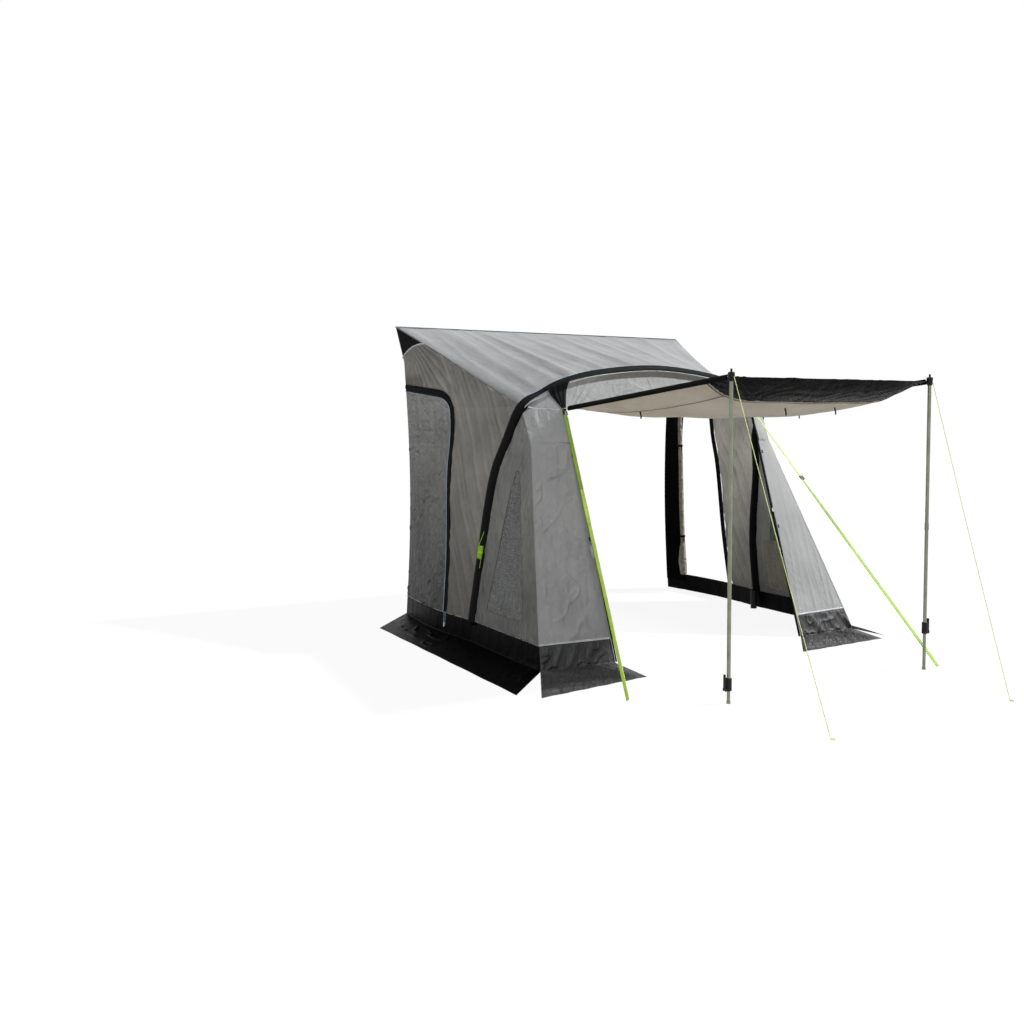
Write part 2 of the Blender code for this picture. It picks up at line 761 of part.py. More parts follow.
def build_side(word, side, roof_space):
    outward = Vector((side, 0, 0))
    doors = {inset: outline_cutter("door_space_%s_%d" % (word, index), door_outline(inset), side)
             for index, inset in enumerate((0.0, GAP, ZIP_BAND - GAP, ZIP_BAND + GAP))}
    gussets = [outline_cutter("gusset_space_%s_%d" % (word, index), gusset_outline(inset), side)
               for index, inset in enumerate((0.0, GAP))]
    patch = sided(aft_patch(), side)

    wall = sheet("side_wall_" + word, patch, AFT_GRID, outward, "side_cloth")
    boolean(wall, gussets[0])
    boolean(wall, doors[0.0])
    boolean(wall, roof_space)
    boolean(wall, BEAM_CUTTER)

    gusset = sheet("rail_gusset_" + word, patch, AFT_GRID, outward, "black_webbing")
    boolean(gusset, gussets[1], "INTERSECT")
    boolean(gusset, roof_space)

    band = sheet("door_zip_band_" + word, patch, AFT_GRID, outward, "black_webbing")
    boolean(band, doors[GAP], "INTERSECT")
    boolean(band, doors[ZIP_BAND - GAP])

    if word == "left":
        door = sheet("door_panel_left", patch, AFT_GRID, outward, "side_cloth")
        boolean(door, doors[ZIP_BAND + GAP], "INTERSECT")
        hinge = place(side * (BASE_HALF - REAR_BOW), 0, DOOR_REAR_HEIGHT / 2)
        hang_on_axis("door_hinge_left", hinge, door)

    strip_high = DOOR_REAR_HEIGHT + STRIP_OVERLAP
    strip_low = MUD_HEIGHT - STRIP_OVERLAP
    strip_patch = spanned(on_aft, 0.0, STRIP_WIDTH / SHOULDER_OUT, strip_low, strip_high)
    strip = sheet("draught_strip_" + word, sided(inner_face(strip_patch), side), STRIP_GRID, outward,
                  "black_webbing", TRIM)

    fore_top = SHOULDER_HEIGHT - SLEEVE_RADIUS / 2
    lap = -BEAM_LAP / (CORNER_OUT - BEAM_FOOT_OUT)
    fore_patch = sided(spanned(on_fore, lap, 1.0, MUD_HEIGHT + GAP, fore_top), side)
    frames = [outline_cutter("window_space_%s_%d" % (word, index), window_outline(inset), side)
              for index, inset in enumerate((0.0, GAP))]
    fore = sheet("side_front_panel_" + word, fore_patch, FORE_GRID, outward, "side_cloth")
    boolean(fore, frames[0])
    boolean(fore, BEAM_CUTTER)
    window = sheet("side_window_" + word, fore_patch, FORE_GRID, outward, "window_mesh")
    boolean(window, frames[1], "INTERSECT")
    past = 1 + 2 * GAP / (CORNER_OUT - BEAM_FOOT_OUT)
    space_patch = sided(spanned(on_fore, lap, past, MUD_HEIGHT, fore_top + GAP), side)
    return sheet("fore_space_" + word, space_patch, FORE_GRID, outward, swell=GAP, collection=CUTTERS)


def aft_at(out, height):
    """The point of the right side wall that far out from the caravan."""
    return on_aft(out / (WALL_Y - on_leg(height).y), height)


def fore_at(out, height):
    """The point of the right wall's front panel that far out from the caravan."""
    start = WALL_Y - on_leg(height).y
    end = WALL_Y - on_corner(height).y
    return on_fore((out - start) / (end - start), height)


# Mud walls and ground flaps

def on_side_foot(share, height):
    """The whole right mud wall: share 0 at the caravan, half at the beam, 1 at the corner."""
    if share < 0.5:
        return on_aft(2 * share, height)
    return on_fore(2 * share - 1, height)


def foot_patch(wall, outer_edge):
    """A mud wall and its ground flap in one cloth, from the flap's outer edge up to the wall's top."""
    fold = FLAP_ROWS / (FLAP_ROWS + MUD_ROWS)

    def patch(u, v):
        if v >= fold:
            return wall(u, mix(CLOTH, MUD_HEIGHT, (v - fold) / (1 - fold)))
        spread = 1 - v / fold
        point = mix(wall(u, CLOTH), mix(*outer_edge, u), spread)
        ripple = FLAP_RIPPLE * math.sin(FLAP_RIPPLES * math.pi * u) ** 2 * spread
        return Vector((point.x, point.y, CLOTH + ripple))
    return patch


def on_tape(share, height):
    """The zip tape along the doorway's edge."""
    return on_doorway(height) - Vector((GAP + TAPE_WIDTH * share, 0, 0))


def build_foot(word, side, fore_space, header_space):
    rows = FLAP_ROWS + MUD_ROWS
    side_grid = (SIDE_FOOT_COLUMNS, rows)
    rear, tip = SIDE_FLAP_SHARES[word]
    outer_edge = (place(BASE_HALF + rear[0] * FLAP_WIDTH, rear[1] * FLAP_WIDTH, 0),
                  place(CORNER_HALF + tip[0] * FLAP_WIDTH, CORNER_OUT + tip[1] * FLAP_WIDTH, 0))
    side_patch = sided(foot_patch(on_side_foot, outer_edge), side)
    outward = Vector((side, 0, 1))
    sheet("side_mud_wall_" + word, side_patch, side_grid, outward, "mud_cloth")
    over = 1 + GAP / (CORNER_OUT - BEAM_FOOT_OUT)
    low_space = sheet("mud_space_" + word, lambda u, v: side_patch(u * over, v), side_grid, outward,
                      swell=GAP, collection=CUTTERS)

    outer, inner = FRONT_FLAP_SHARES[word]
    outer_edge = (place(CORNER_HALF + outer[0] * FLAP_WIDTH, CORNER_OUT + outer[1] * FLAP_WIDTH, 0),
                  place(DOORWAY_HALF + inner[0] * FLAP_WIDTH, DOORWAY_OUT + inner[1] * FLAP_WIDTH, 0))
    patch = sided(foot_patch(on_front, outer_edge), side)
    front_grid = (FRONT_FOOT_COLUMNS, rows)
    front_mud = sheet("front_mud_wall_" + word, patch, front_grid, FORWARD + UP, "mud_cloth")
    boolean(front_mud, low_space)
    boolean(front_mud, fore_space)

    def top(share):
        return mix(SHOULDER_HEIGHT, HINGE_HEIGHT, share) - 4 * GAP
    panel_patch = sided(spanned(on_front, 0.0, 1.0, MUD_HEIGHT + GAP, top), side)
    panel = sheet("front_panel_" + word, panel_patch, FRONT_GRID, FORWARD, "front_cloth")
    boolean(panel, BEAM_CUTTER)
    boolean(panel, fore_space)
    boolean(panel, low_space)
    boolean(panel, header_space)
    edge_patch = sided(spanned(on_tape, -GAP / TAPE_WIDTH, 1.0, 2 * CLOTH, HINGE_HEIGHT), side)
    edge_space = sheet("edge_space_" + word, edge_patch, TAPE_GRID, FORWARD, swell=CLOTH,
                       collection=CUTTERS)
    boolean(front_mud, edge_space)
    boolean(panel, edge_space)


# Zips

def slider(name, at, direction, normal):
    """A zip slider with its length along the zip and its back on the band."""
    centre = at + normal * (SLIDER_LIFT + SLIDER_DEPTH / 2)
    made = box_object(name, (SLIDER_WIDTH, SLIDER_DEPTH, SLIDER_LENGTH), centre, bevel=SLIDER_BEVEL)
    made.rotation_mode = "QUATERNION"
    made.rotation_quaternion = aligned(direction, normal)
    look("zip_metal", made)


def aligned(direction, normal):
    """The turn that puts local Z along direction and local Y towards normal."""
    up = direction.normalized()
    across = normal.cross(up).normalized()
    front = up.cross(across)
    return Matrix((across, front, up)).transposed().to_quaternion()


def door_zip_at(height):
    out = mix(DOOR_FOOT_OUT, DOOR_HEAD_OUT, height / DOOR_HEAD_HEIGHT) - ZIP_BAND / 2
    return aft_at(out, height)


def build_zips(word, side):
    patch = sided(spanned(on_tape, 0.0, 1.0, 2 * CLOTH, HINGE_HEIGHT * TAPE_TOP_SHARE), side)
    sheet("front_zip_tape_" + word, patch, TAPE_GRID, FORWARD, "black_webbing")
    height = FRONT_SLIDER_HEIGHTS[word]
    rise = on_doorway(HINGE_HEIGHT) - on_doorway(0)
    at = on_doorway(height) - Vector((GAP + TAPE_WIDTH / 2, 0, 0))
    normal = Vector((1, 0, 0)).cross(rise).normalized()
    if normal.y > 0:
        normal = -normal
    slider("front_zip_slider_" + word, mirrored(at, side), mirrored(rise, side), normal)

    low = door_zip_at(DOOR_SLIDER_HEIGHT)
    rise = door_zip_at(DOOR_SLIDER_HEIGHT + DOOR_SLIDER_RUN) - low
    normal = rise.cross(Vector((0, 1, 0))).normalized()
    if normal.x < 0:
        normal = -normal
    slider("door_zip_slider_" + word, mirrored(low, side), mirrored(rise, side), mirrored(normal, side))


# The rolled right door, its ties and the right window's blind

def roll_radius(height):
    keys, sizes = zip(*ROLL_SHARES)
    share = (height - ROLL_BOTTOM) / (ROLL_TOP - ROLL_BOTTOM)
    return ROLL_RADIUS * float(np.interp(share, keys, sizes))


def pinched(height):
    pinch = sum(math.exp(-((height - tie) / ROLL_PINCH_HEIGHT) ** 4) for tie in TIE_HEIGHTS.values())
    return roll_radius(height) - ROLL_RADIUS * ROLL_PINCH * pinch


def roll_centre(height):
    depth = CLOTH + TRIM + INNER_GAP + 3 * GAP + roll_radius(height)
    return lifted(aft_at, depth)(ROLL_OUT, height)


def build_roll():
    heights = [mix(ROLL_BOTTOM, ROLL_TOP, index / (ROLL_POINTS - 1)) for index in range(ROLL_POINTS)]
    points = [roll_centre(height) for height in heights]
    radii = [pinched(height) / ROLL_RADIUS for height in heights]
    roll = curve_object("rolled_door_right", points, ROLL_RADIUS, 2, radii)
    look("side_cloth", roll)
    for word, height in TIE_HEIGHTS.items():
        half = TIE_WIDTH / 2
        widest = max(pinched(height - half), pinched(height), pinched(height + half))
        inner = widest / math.cos(math.pi / ROUND_STEPS) + 2 * GAP
        outer = inner + TIE_THICKNESS
        profile = [(outer, half), (outer, -half), (inner, -half), (inner, half)]
        tie = turned("roll_tie_" + word, profile, roll_centre(height), True)
        rise = roll_centre(height + half) - roll_centre(height - half)
        tie.rotation_mode = "QUATERNION"
        tie.rotation_quaternion = rise.to_track_quat("Z", "Y")
        look("black_webbing", tie)


def build_blind():
    def patch(u, v):
        point = fore_at(mix(BLIND_REAR, BLIND_FRONT, u), mix(BLIND_BOTTOM, BLIND_TOP, v))
        fold = BLIND_FOLD * math.sin(math.pi * BLIND_FOLDS * u) ** 2 * (1 - BLIND_EASE_SHARE * v)
        return point - Vector((CLOTH + 3 * GAP + fold, 0, 0))
    sheet("window_blind_right", patch, BLIND_GRID, Vector((1, 0, 0)), "blind_cloth", TRIM)


# Storm straps with what they hang on

def hinge_corner(side):
    return place(side * HINGE_HALF, HINGE_OUT, HINGE_HEIGHT)


def strap_end(word, side):
    half, out = STRAP_ENDS[word]
    return place(side * half, out, STRAP_END_HEIGHT)


def build_corner(word, side):
    """The dark gusset below the arch, its tab, the buckle on the tab and the strap to the ground."""
    corner = hinge_corner(side)
    line = (strap_end(word, side) - corner).normalized()
    across = (Vector((1, 0, 0)) - line * line.x).normalized()
    normal = across.cross(line)
    if normal.y > 0:
        normal = -normal
    lift = 3 * GAP + TRIM
    on_panel = lifted(on_header, -lift)
    tip = side * HINGE_HALF / SHOULDER_HALF
    tab_root = on_panel(tip, 1.0)
    outer_half = side * PATCH_OUTER_SHARE
    inner_half = side * PATCH_INNER_SHARE
    tip_half = TAB_WIDTH / 2 / SHOULDER_HALF

    def patch(u, v):
        if v <= PATCH_TAB_SHARE:
            down = v / PATCH_TAB_SHARE
            left = mix(outer_half, tip + side * tip_half, down ** PATCH_CURVE)
            right = mix(inner_half, tip - side * tip_half, down ** PATCH_CURVE)
            return on_panel(mix(left, right, u), down)
        run = (v - PATCH_TAB_SHARE) / (1 - PATCH_TAB_SHARE)
        sideways = across * side * TAB_WIDTH * (0.5 - u)
        return tab_root + sideways + line * TAB_LENGTH * run
    gusset = sheet("arch_gusset_" + word, patch, PATCH_GRID, FORWARD, "black_webbing", TRIM)
    boolean(gusset, BEAM_CUTTER)

    turn = aligned(line, normal)
    start = tab_root - normal * TRIM / 2 + line * (TAB_LENGTH + GAP)
    buckle = box_object("corner_buckle_" + word, (BUCKLE_WIDTH, BUCKLE_THICKNESS, BUCKLE_LENGTH),
                        start + line * BUCKLE_LENGTH / 2, bevel=BUCKLE_BEVEL)
    cut_slots(buckle, start + line * BUCKLE_LENGTH / 2, line, turn)
    look("black_plastic", buckle)
    top = start + line * (BUCKLE_LENGTH + GAP)
    strap_piece("storm_strap_" + word, top, strap_end(word, side), turn)
    if word == "right":
        seat = mix(top, strap_end(word, side), LADDER_SHARE)
        seat = seat + normal * (STRAP_THICKNESS / 2 + GAP + BUCKLE_THICKNESS / 2)
        ladder = box_object("ladder_buckle_right", (BUCKLE_WIDTH, BUCKLE_THICKNESS, BUCKLE_LENGTH),
                            seat, bevel=BUCKLE_BEVEL)
        cut_slots(ladder, seat, line, turn)
        look("black_plastic", ladder)


def cut_slots(buckle, centre, line, turn):
    """Turn a buckle into place and cut its two slots, one each side of the middle bar."""
    buckle.rotation_mode = "QUATERNION"
    buckle.rotation_quaternion = turn
    slot = (BUCKLE_LENGTH - 3 * BUCKLE_BAR) / 2
    size = (BUCKLE_WIDTH - 2 * BUCKLE_BAR, 2 * BUCKLE_THICKNESS, slot)
    for end, sign in (("low", 1), ("high", -1)):
        cutter = box_object(buckle.name + "_slot_" + end, size,
                            centre + line * sign * (slot + BUCKLE_BAR) / 2, CUTTERS)
        cutter.rotation_mode = "QUATERNION"
        cutter.rotation_quaternion = turn
        boolean(buckle, cutter)


def strap_piece(name, start, end, turn):
    length = (end - start).length
    strap = box_object(name, (STRAP_WIDTH, STRAP_THICKNESS, length), (start + end) / 2)
    strap.rotation_mode = "QUATERNION"
    strap.rotation_quaternion = turn
    look("green_webbing", strap)


# Poles

def build_pole(word, side):
    base = place(side * POLE_HALF, POLE_OUT, 0)
    bore = TUBE_RADIUS - TUBE_WALL
    inner = bore - GAP
    clamp_low = CLAMP_BOTTOMS[word]
    lip = clamp_low + CLAMP_LIP
    bottom = lip + GAP
    top = POLE_HEIGHT - HEAD_LENGTH / 2
    ferrule_top = FERRULE_HEIGHT + FERRULE_LENGTH / 2
    ferrule_low = FERRULE_HEIGHT - FERRULE_LENGTH / 2
    profile = [(TUBE_RADIUS, top), (TUBE_RADIUS, ferrule_top), (FERRULE_RADIUS, ferrule_top),
               (FERRULE_RADIUS, ferrule_low), (TUBE_RADIUS, ferrule_low), (TUBE_RADIUS, bottom),
               (bore, bottom), (bore, top)]
    look("pole_steel", turned("pole_tube_" + word, profile, base, True))

    low = top + GAP
    high = low + HEAD_LENGTH
    profile = [(0, high + SPIKE_LENGTH), (SPIKE_RADIUS, high + SPIKE_LENGTH), (SPIKE_RADIUS, high),
               (HEAD_RADIUS - HEAD_BEVEL, high), (HEAD_RADIUS, high - HEAD_BEVEL),
               (HEAD_RADIUS, low + HEAD_LENGTH / 4), (HEAD_NECK, low), (0, low)]
    look("black_plastic", turned("pole_head_" + word, profile, base, False))

    profile = [(0, FOOT_LENGTH), (inner, FOOT_LENGTH), (inner, FOOT_CAP_LENGTH),
               (FOOT_CAP_RADIUS, FOOT_CAP_LENGTH), (FOOT_CAP_RADIUS, 0), (0, 0)]
    foot = turned("foot_tube_" + word, profile, base, False)
    look("pole_steel", foot)

    clamp_top = clamp_low + CLAMP_LENGTH
    grip = TUBE_RADIUS + GAP
    profile = [(CLAMP_RADIUS - CLAMP_BEVEL, clamp_top), (CLAMP_RADIUS, clamp_top - CLAMP_BEVEL),
               (CLAMP_RADIUS, clamp_low + CLAMP_BEVEL), (CLAMP_RADIUS - CLAMP_BEVEL, clamp_low),
               (inner + GAP, clamp_low), (inner + GAP, lip), (grip, lip), (grip, clamp_top)]
    clamp = turned("clamp_body_" + word, profile, base, True)
    reach = GAP + 2 * LEVER_BARREL
    pivot = base + Vector((side * (CLAMP_RADIUS + GAP + LEVER_BARREL), 0, clamp_low + LUG_HEIGHT / 2))
    for number, turn in enumerate((-1, 1)):
        offset = turn * (LEVER_WIDTH / 2 + GAP + LUG_THICKNESS / 2)
        lug_length = reach + (CLAMP_RADIUS - TUBE_RADIUS) / 2
        centre = Vector((base.x + side * (CLAMP_RADIUS + reach - lug_length / 2), base.y + offset, pivot.z))
        lug = box_object("lug_%s_%d" % (word, number), (lug_length, LUG_THICKNESS, LUG_HEIGHT), centre,
                         CUTTERS)
        boolean(clamp, lug, "UNION")
    pin_length = LEVER_WIDTH + 2 * (GAP + LUG_THICKNESS)
    hole = rod_object("pin_hole_" + word, PIN_RADIUS + GAP, 2 * pin_length, pivot, (0, 1, 0), CUTTERS)
    boolean(clamp, hole)
    look("black_plastic", clamp)

    lever = rod_object("cam_lever_" + word, LEVER_BARREL, LEVER_WIDTH, pivot, (0, 1, 0))
    bar_centre = pivot + Vector((side * (LEVER_BARREL - LEVER_THICKNESS / 2), 0, LEVER_LENGTH / 2))
    bar = box_object("lever_bar_" + word, (LEVER_THICKNESS, LEVER_WIDTH - GAP, LEVER_LENGTH), bar_centre,
                     CUTTERS)
    pin = rod_object("lever_pin_" + word, PIN_RADIUS, pin_length, pivot, (0, 1, 0), CUTTERS)
    boolean(lever, bar, "UNION")
    boolean(lever, pin, "UNION")
    look("black_plastic", lever)


# Guy lines

def build_guy(word, side):
    half, out = GUY_ENDS[word]
    start = place(side * POLE_HALF, POLE_OUT + HEAD_RADIUS + GUY_RADIUS + GAP, POLE_HEIGHT)
    end = place(side * half, out, GUY_END_HEIGHT)
    points = []
    for index in range(GUY_POINTS):
        share = index / (GUY_POINTS - 1)
        points.append(mix(start, end, share) - UP * GUY_SAG * 4 * share * (1 - share))
    look("guy_cord", curve_object("guy_line_" + word, points, GUY_RADIUS, 2))


def hank_path():
    """Spare guy line: down from the left leg's sleeve, through the loops, and a hanging tail."""
    centre = mirrored(on_leg(HANK_HEIGHT), -1)
    along_leg = (mirrored(on_leg(HANK_HEIGHT + HANK_LEAD), -1) - centre).normalized()
    level = along_leg.cross(FORWARD).normalized()
    if level.x > 0:
        level = -level
    outward = level * math.cos(HANK_TURN) + FORWARD * math.sin(HANK_TURN)
    across = FORWARD * math.cos(HANK_TURN) - level * math.sin(HANK_TURN)
    near = SLEEVE_RADIUS + HANK_CLEARANCE + HANK_CORD_RADIUS
    middle = near + HANK_BEND
    first = -HANK_PITCH * HANK_TURNS / 2

    def at(run, depth, width):
        return centre + along_leg * run + outward * depth + across * width
    points = []
    for step in range(HANK_LEAD_STEPS):
        share = step / HANK_LEAD_STEPS
        ease = share * share * (3 - 2 * share)
        depth = mix(SLEEVE_RADIUS - HANK_SINK + HANK_CORD_RADIUS, middle + HANK_BEND, ease)
        points.append(at(mix(HANK_LEAD, HANK_HALF_RUN, share), depth, first * ease))
    bend = [math.pi * step / HANK_BEND_STEPS for step in range(HANK_BEND_STEPS + 1)]
    for turn in range(HANK_TURNS):
        loop = [(HANK_HALF_RUN, HANK_BEND), (0, HANK_BEND)]
        loop += [(-HANK_HALF_RUN - HANK_BEND * math.sin(angle), HANK_BEND * math.cos(angle))
                 for angle in bend]
        loop += [(0, -HANK_BEND)]
        loop += [(HANK_HALF_RUN + HANK_BEND * math.sin(angle), -HANK_BEND * math.cos(angle))
                 for angle in bend[:-1]]
        for number, (run, depth) in enumerate(loop):
            width = first + HANK_PITCH * (turn + number / len(loop))
            points.append(at(run, middle + depth, width))
    for share in (0.0, 0.5, 1.0):
        run = mix(HANK_HALF_RUN, -HANK_HALF_RUN - HANK_TAIL, share)
        points.append(at(run, middle + HANK_BEND, -first))
    return points


def least_gap(points, radius, apart):
    """The least distance between surfaces of a tube's stretches more than apart along it."""
    fine = []
    for first, second in zip(points, points[1:]):
        count = max(1, math.ceil((second - first).length / radius))
        fine += [mix(first, second, step / count) for step in range(count)]
    cloud = np.array([tuple(point) for point in fine])
    lengths = np.concatenate([[0], np.cumsum(np.linalg.norm(np.diff(cloud, axis=0), axis=1))])
    least = math.inf
    for index in range(len(cloud)):
        far = np.abs(lengths - lengths[index]) > apart
        if far.any():
            least = min(least, float(np.linalg.norm(cloud[far] - cloud[index], axis=1).min()))
    return least - 2 * radius


def build_hank():
    points = hank_path()
    gap = least_gap(points, HANK_CORD_RADIUS, math.pi * HANK_BEND)
    print("guy hank: least gap to itself %.2f mm" % (gap * 1000))
    look("green_webbing", curve_object("guy_hank", points, HANK_CORD_RADIUS, 1))


roof_cover = build_roof()
header_cover = build_header()
build_beam()
build_valve()
build_canopy()
for side_word, side_sign in SIDES.items():
    fore_cover = build_side(side_word, side_sign, roof_cover)
    build_foot(side_word, side_sign, fore_cover, header_cover)
    build_zips(side_word, side_sign)
    build_corner(side_word, side_sign)
    build_pole(side_word, side_sign)
    build_guy(side_word, side_sign)
build_roll()
build_blind()
build_hank()
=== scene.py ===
import math

import bpy
import numpy as np
from mathutils import Matrix, Vector
from mathutils.geometry import delaunay_2d_cdt
from mathutils.kdtree import KDTree


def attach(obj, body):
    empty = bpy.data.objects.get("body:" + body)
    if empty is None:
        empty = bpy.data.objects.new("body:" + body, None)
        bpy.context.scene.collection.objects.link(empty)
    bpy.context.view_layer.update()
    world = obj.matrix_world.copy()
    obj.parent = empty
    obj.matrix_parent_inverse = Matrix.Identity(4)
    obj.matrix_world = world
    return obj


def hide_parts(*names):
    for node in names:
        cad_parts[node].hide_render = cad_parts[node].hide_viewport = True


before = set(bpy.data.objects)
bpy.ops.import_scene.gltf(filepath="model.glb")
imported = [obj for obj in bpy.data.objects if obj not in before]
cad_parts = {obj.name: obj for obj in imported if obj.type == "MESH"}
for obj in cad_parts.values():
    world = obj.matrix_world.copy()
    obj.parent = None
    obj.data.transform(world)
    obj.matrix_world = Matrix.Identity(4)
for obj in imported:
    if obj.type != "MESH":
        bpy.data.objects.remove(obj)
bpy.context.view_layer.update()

# Sizes that the cloth shares with the frame, in metres
RAIL_HALF = 1.400
RAIL_HEIGHT = 2.330
BASE_HALF = 1.330
BEAM_FOOT_HALF = 1.346
BEAM_FOOT_OUT = 1.220
SHOULDER_HALF = 1.080
SHOULDER_OUT = 1.510
SHOULDER_HEIGHT = 1.665
CROWN_OUT = 1.560
CROWN_HEIGHT = 1.937
CORNER_HALF = 1.355
CORNER_OUT = 2.240
CREASE_HALF = 1.067
CREASE_OUT = 1.619
CREASE_HEIGHT = 1.417
DOORWAY_HALF = 0.807
DOORWAY_OUT = 2.260
HINGE_HALF = 0.839
HINGE_OUT = 1.680
HINGE_HEIGHT = 1.650
POLE_HALF = 0.788
POLE_OUT = 3.339
POLE_HEIGHT = 1.800
MUD_HEIGHT = 0.149
CLOTH = 0.004
TRIM = 0.0025
GAP = 0.0003
INNER_GAP = 0.0018
REAR_BOW = 0.040
AFT_BILLOW = 0.050
BILLOW_POWER = 4
FLARE_HEIGHT = 2.050
EAVE_SAG = 0.018
EAVE_POWER = 3
BEAD_RADIUS = 0.0035
SLEEVE_RADIUS = 0.034
LEG_SHARES = [(0.0, 0.0, 0.0), (0.35, 0.311, 0.078), (0.69, 0.512, 0.393), (0.86, 0.795, 0.624),
              (1.0, 1.0, 1.0)]
ARCH_SHARES = [(0.872, 0.29), (0.713, 0.60), (0.43, 0.86), (0.0, 1.0)]
HEADER_REACH_SHARE = 0.985
DOOR_FOOT_OUT = 0.878
DOOR_HEAD_OUT = 0.735
DOOR_HEAD_HEIGHT = 1.790
DOOR_REAR_HEIGHT = 1.870
DOOR_CORNER = 0.270
ZIP_BAND = 0.055
STRIP_WIDTH = 0.285
STRIP_OVERLAP = 0.060
ROLL_RADIUS = 0.0245
ROLL_OUT = 0.262
ROLL_TOP = 1.760
ROLL_BOTTOM = 0.170
ROLL_SHARES = [(0.0, 1.45), (0.07, 1.80), (0.14, 1.40), (0.18, 1.0), (0.5, 1.05), (0.74, 0.95),
               (0.9, 0.92), (1.0, 0.75)]
ROLL_PINCH = 0.07
ROLL_PINCH_HEIGHT = 0.035
TIE_HEIGHTS = {"upper": 1.345, "lower": 0.516}
TIE_WIDTH = 0.018
GUSSET_DROP = 0.245
GUSSET_RUN = 0.330
GUSSET_EAVE_DROP = 0.150
WINDOW_LOW = 0.250
WINDOW_TOP = 1.225
WINDOW_LOW_REAR = 1.405
WINDOW_LOW_FRONT = 1.916
WINDOW_TOP_OUT = 1.567
WINDOW_TOP_RUN = 0.030
BLIND_TOP = 0.600
BLIND_BOTTOM = 0.190
BLIND_REAR = 1.385
BLIND_FRONT = 1.610
BLIND_FOLD = 0.006
BLIND_FOLDS = 4
BLIND_EASE_SHARE = 0.5
FLAP_WIDTH = 0.412
SIDE_FLAP_SHARES = {"left": ((1.0, 1.13), (0.93, 0.95)), "right": ((1.0, 1.13), (0.04, 0.67))}
FRONT_FLAP_SHARES = {"left": ((0.70, 1.25), (0.08, 0.95)), "right": ((-0.21, 0.84), (-0.81, 0.88))}
FLAP_RIPPLE = 0.0021
FLAP_RIPPLES = 5
CANOPY_SAG = 0.135
CANOPY_PROFILE_SHARES = [(0.0, 0.0), (0.06, 0.22), (0.2, 0.62), (0.4, 0.92), (0.6, 1.0),
                         (0.8, 0.94), (0.9, 0.78), (0.96, 0.46), (1.0, 0.0)]
CANOPY_BAND = 0.200
CANOPY_EDGE_POWER = 6
CANOPY_RIPPLE = 0.006
CANOPY_RIPPLES = 9
CANOPY_BORDER = 0.130
CANOPY_SEAM_DROP = 0.0030
CANOPY_TIES = [(-0.835, 0.40), (-0.10, 0.80), (0.42, 0.80), (0.835, 0.40)]
CANOPY_TIE_LENGTH = 0.045
TAPE_WIDTH = 0.018
TAPE_TOP_SHARE = 0.965
DOOR_SLIDER_HEIGHT = 0.060
DOOR_SLIDER_RUN = 0.450
PATCH_OUTER_SHARE = 0.838
PATCH_INNER_SHARE = 0.648
PATCH_TAB_SHARE = 0.9
PATCH_CURVE = 0.6
TAB_WIDTH = 0.025
TAB_LENGTH = 0.020
BUCKLE_LENGTH = 0.034
STRAP_WIDTH = 0.025
STRAP_THICKNESS = 0.0025
STRAP_END_HEIGHT = 0.010
STRAP_STEP = 0.012
# Share along a storm strap where its green changes to or from the paler copy that paints light on it
STRAP_PAINTED_LIGHT_SHARE = 0.30
STRAP_ENDS = {"left": (1.255, 3.044), "right": (0.905, 3.350)}
STRAP_TURNS = {"left": [(0, 8), (0.34, 4), (0.44, 66), (1, 74)],
               "right": [(0, -22), (0.26, -22), (0.42, 0), (1, 4)]}
HEAD_RADIUS = 0.019
GUY_RADIUS = 0.0020
GUY_ENDS = {"left": (0.760, 4.060), "right": (0.620, 4.050)}
GUY_END_HEIGHT = 0.006
GUY_SAG = 0.012
GUY_POINTS = 16
GUY_EYE = 0.016
GUY_EYE_SHARES = (0.9, 0.55)
GUY_EYE_HEIGHT_SHARE = 1.2
GUY_EYE_POINTS = 20
HANK_CORD_RADIUS = 0.0018
HANK_TURNS = 6
HANK_PITCH = 0.0048
HANK_HALF_RUN = 0.036
HANK_BEND = 0.011
HANK_BEND_STEPS = 8
HANK_HEIGHT = 0.640
HANK_LEAD = 0.150
HANK_TAIL = 0.075
HANK_LEAD_STEPS = 8
HANK_CLEARANCE = 0.002
HANK_TURN = math.radians(45)
HANK_SINK = 0.0012
WRAP_TURNS = 4
WRAP_STEPS = 24
WRAP_PITCH_SHARE = 2.1
WALL_Y = (POLE_OUT + HEAD_RADIUS) / 2

# The cloth: its thickness, how far it is set into the frame's solids, and how fine its meshes are
SKIN = 0.0012
INSET = 0.0010
BEAM_STEPS = 12
FINE = 0.010
FINER = 0.009
NET_PITCH = 0.014
LINE_PITCH = 0.012
GRIDS = {"roof": (280, 150), "header": (240, 96), "canopy": (150, 170), "strip": (36, 150),
         "side_foot": (230, 64), "front_foot": (80, 64), "front": (76, 190), "tape": (6, 120),
         "corner_gusset": (44, 90), "blind": (60, 84)}
BAND_COLUMNS = 10

# Sides and directions
SIDES = {"left": -1, "right": 1}
UPWARD = (0, 0, 1)
FRONTWARD = (0, -1, 0)
SIDEWARD = np.array([1.0, 0, 0])
PANEL_FACING = np.array([0, -0.947, 0.322])

# The camera: its place, and where the photograph's middle lies from its optical axis
CAMERA_PLACE = (-4.4218, -5.8930, 1.5492)
CAMERA_YAW = 0.49407
CAMERA_PITCH = -0.05917
CAMERA_ROLL = -0.00403
PHOTO_PIXELS = 1024
FOCAL_PIXELS = 1000.39
AXIS_RISE_PIXELS = 29.0


# Camera

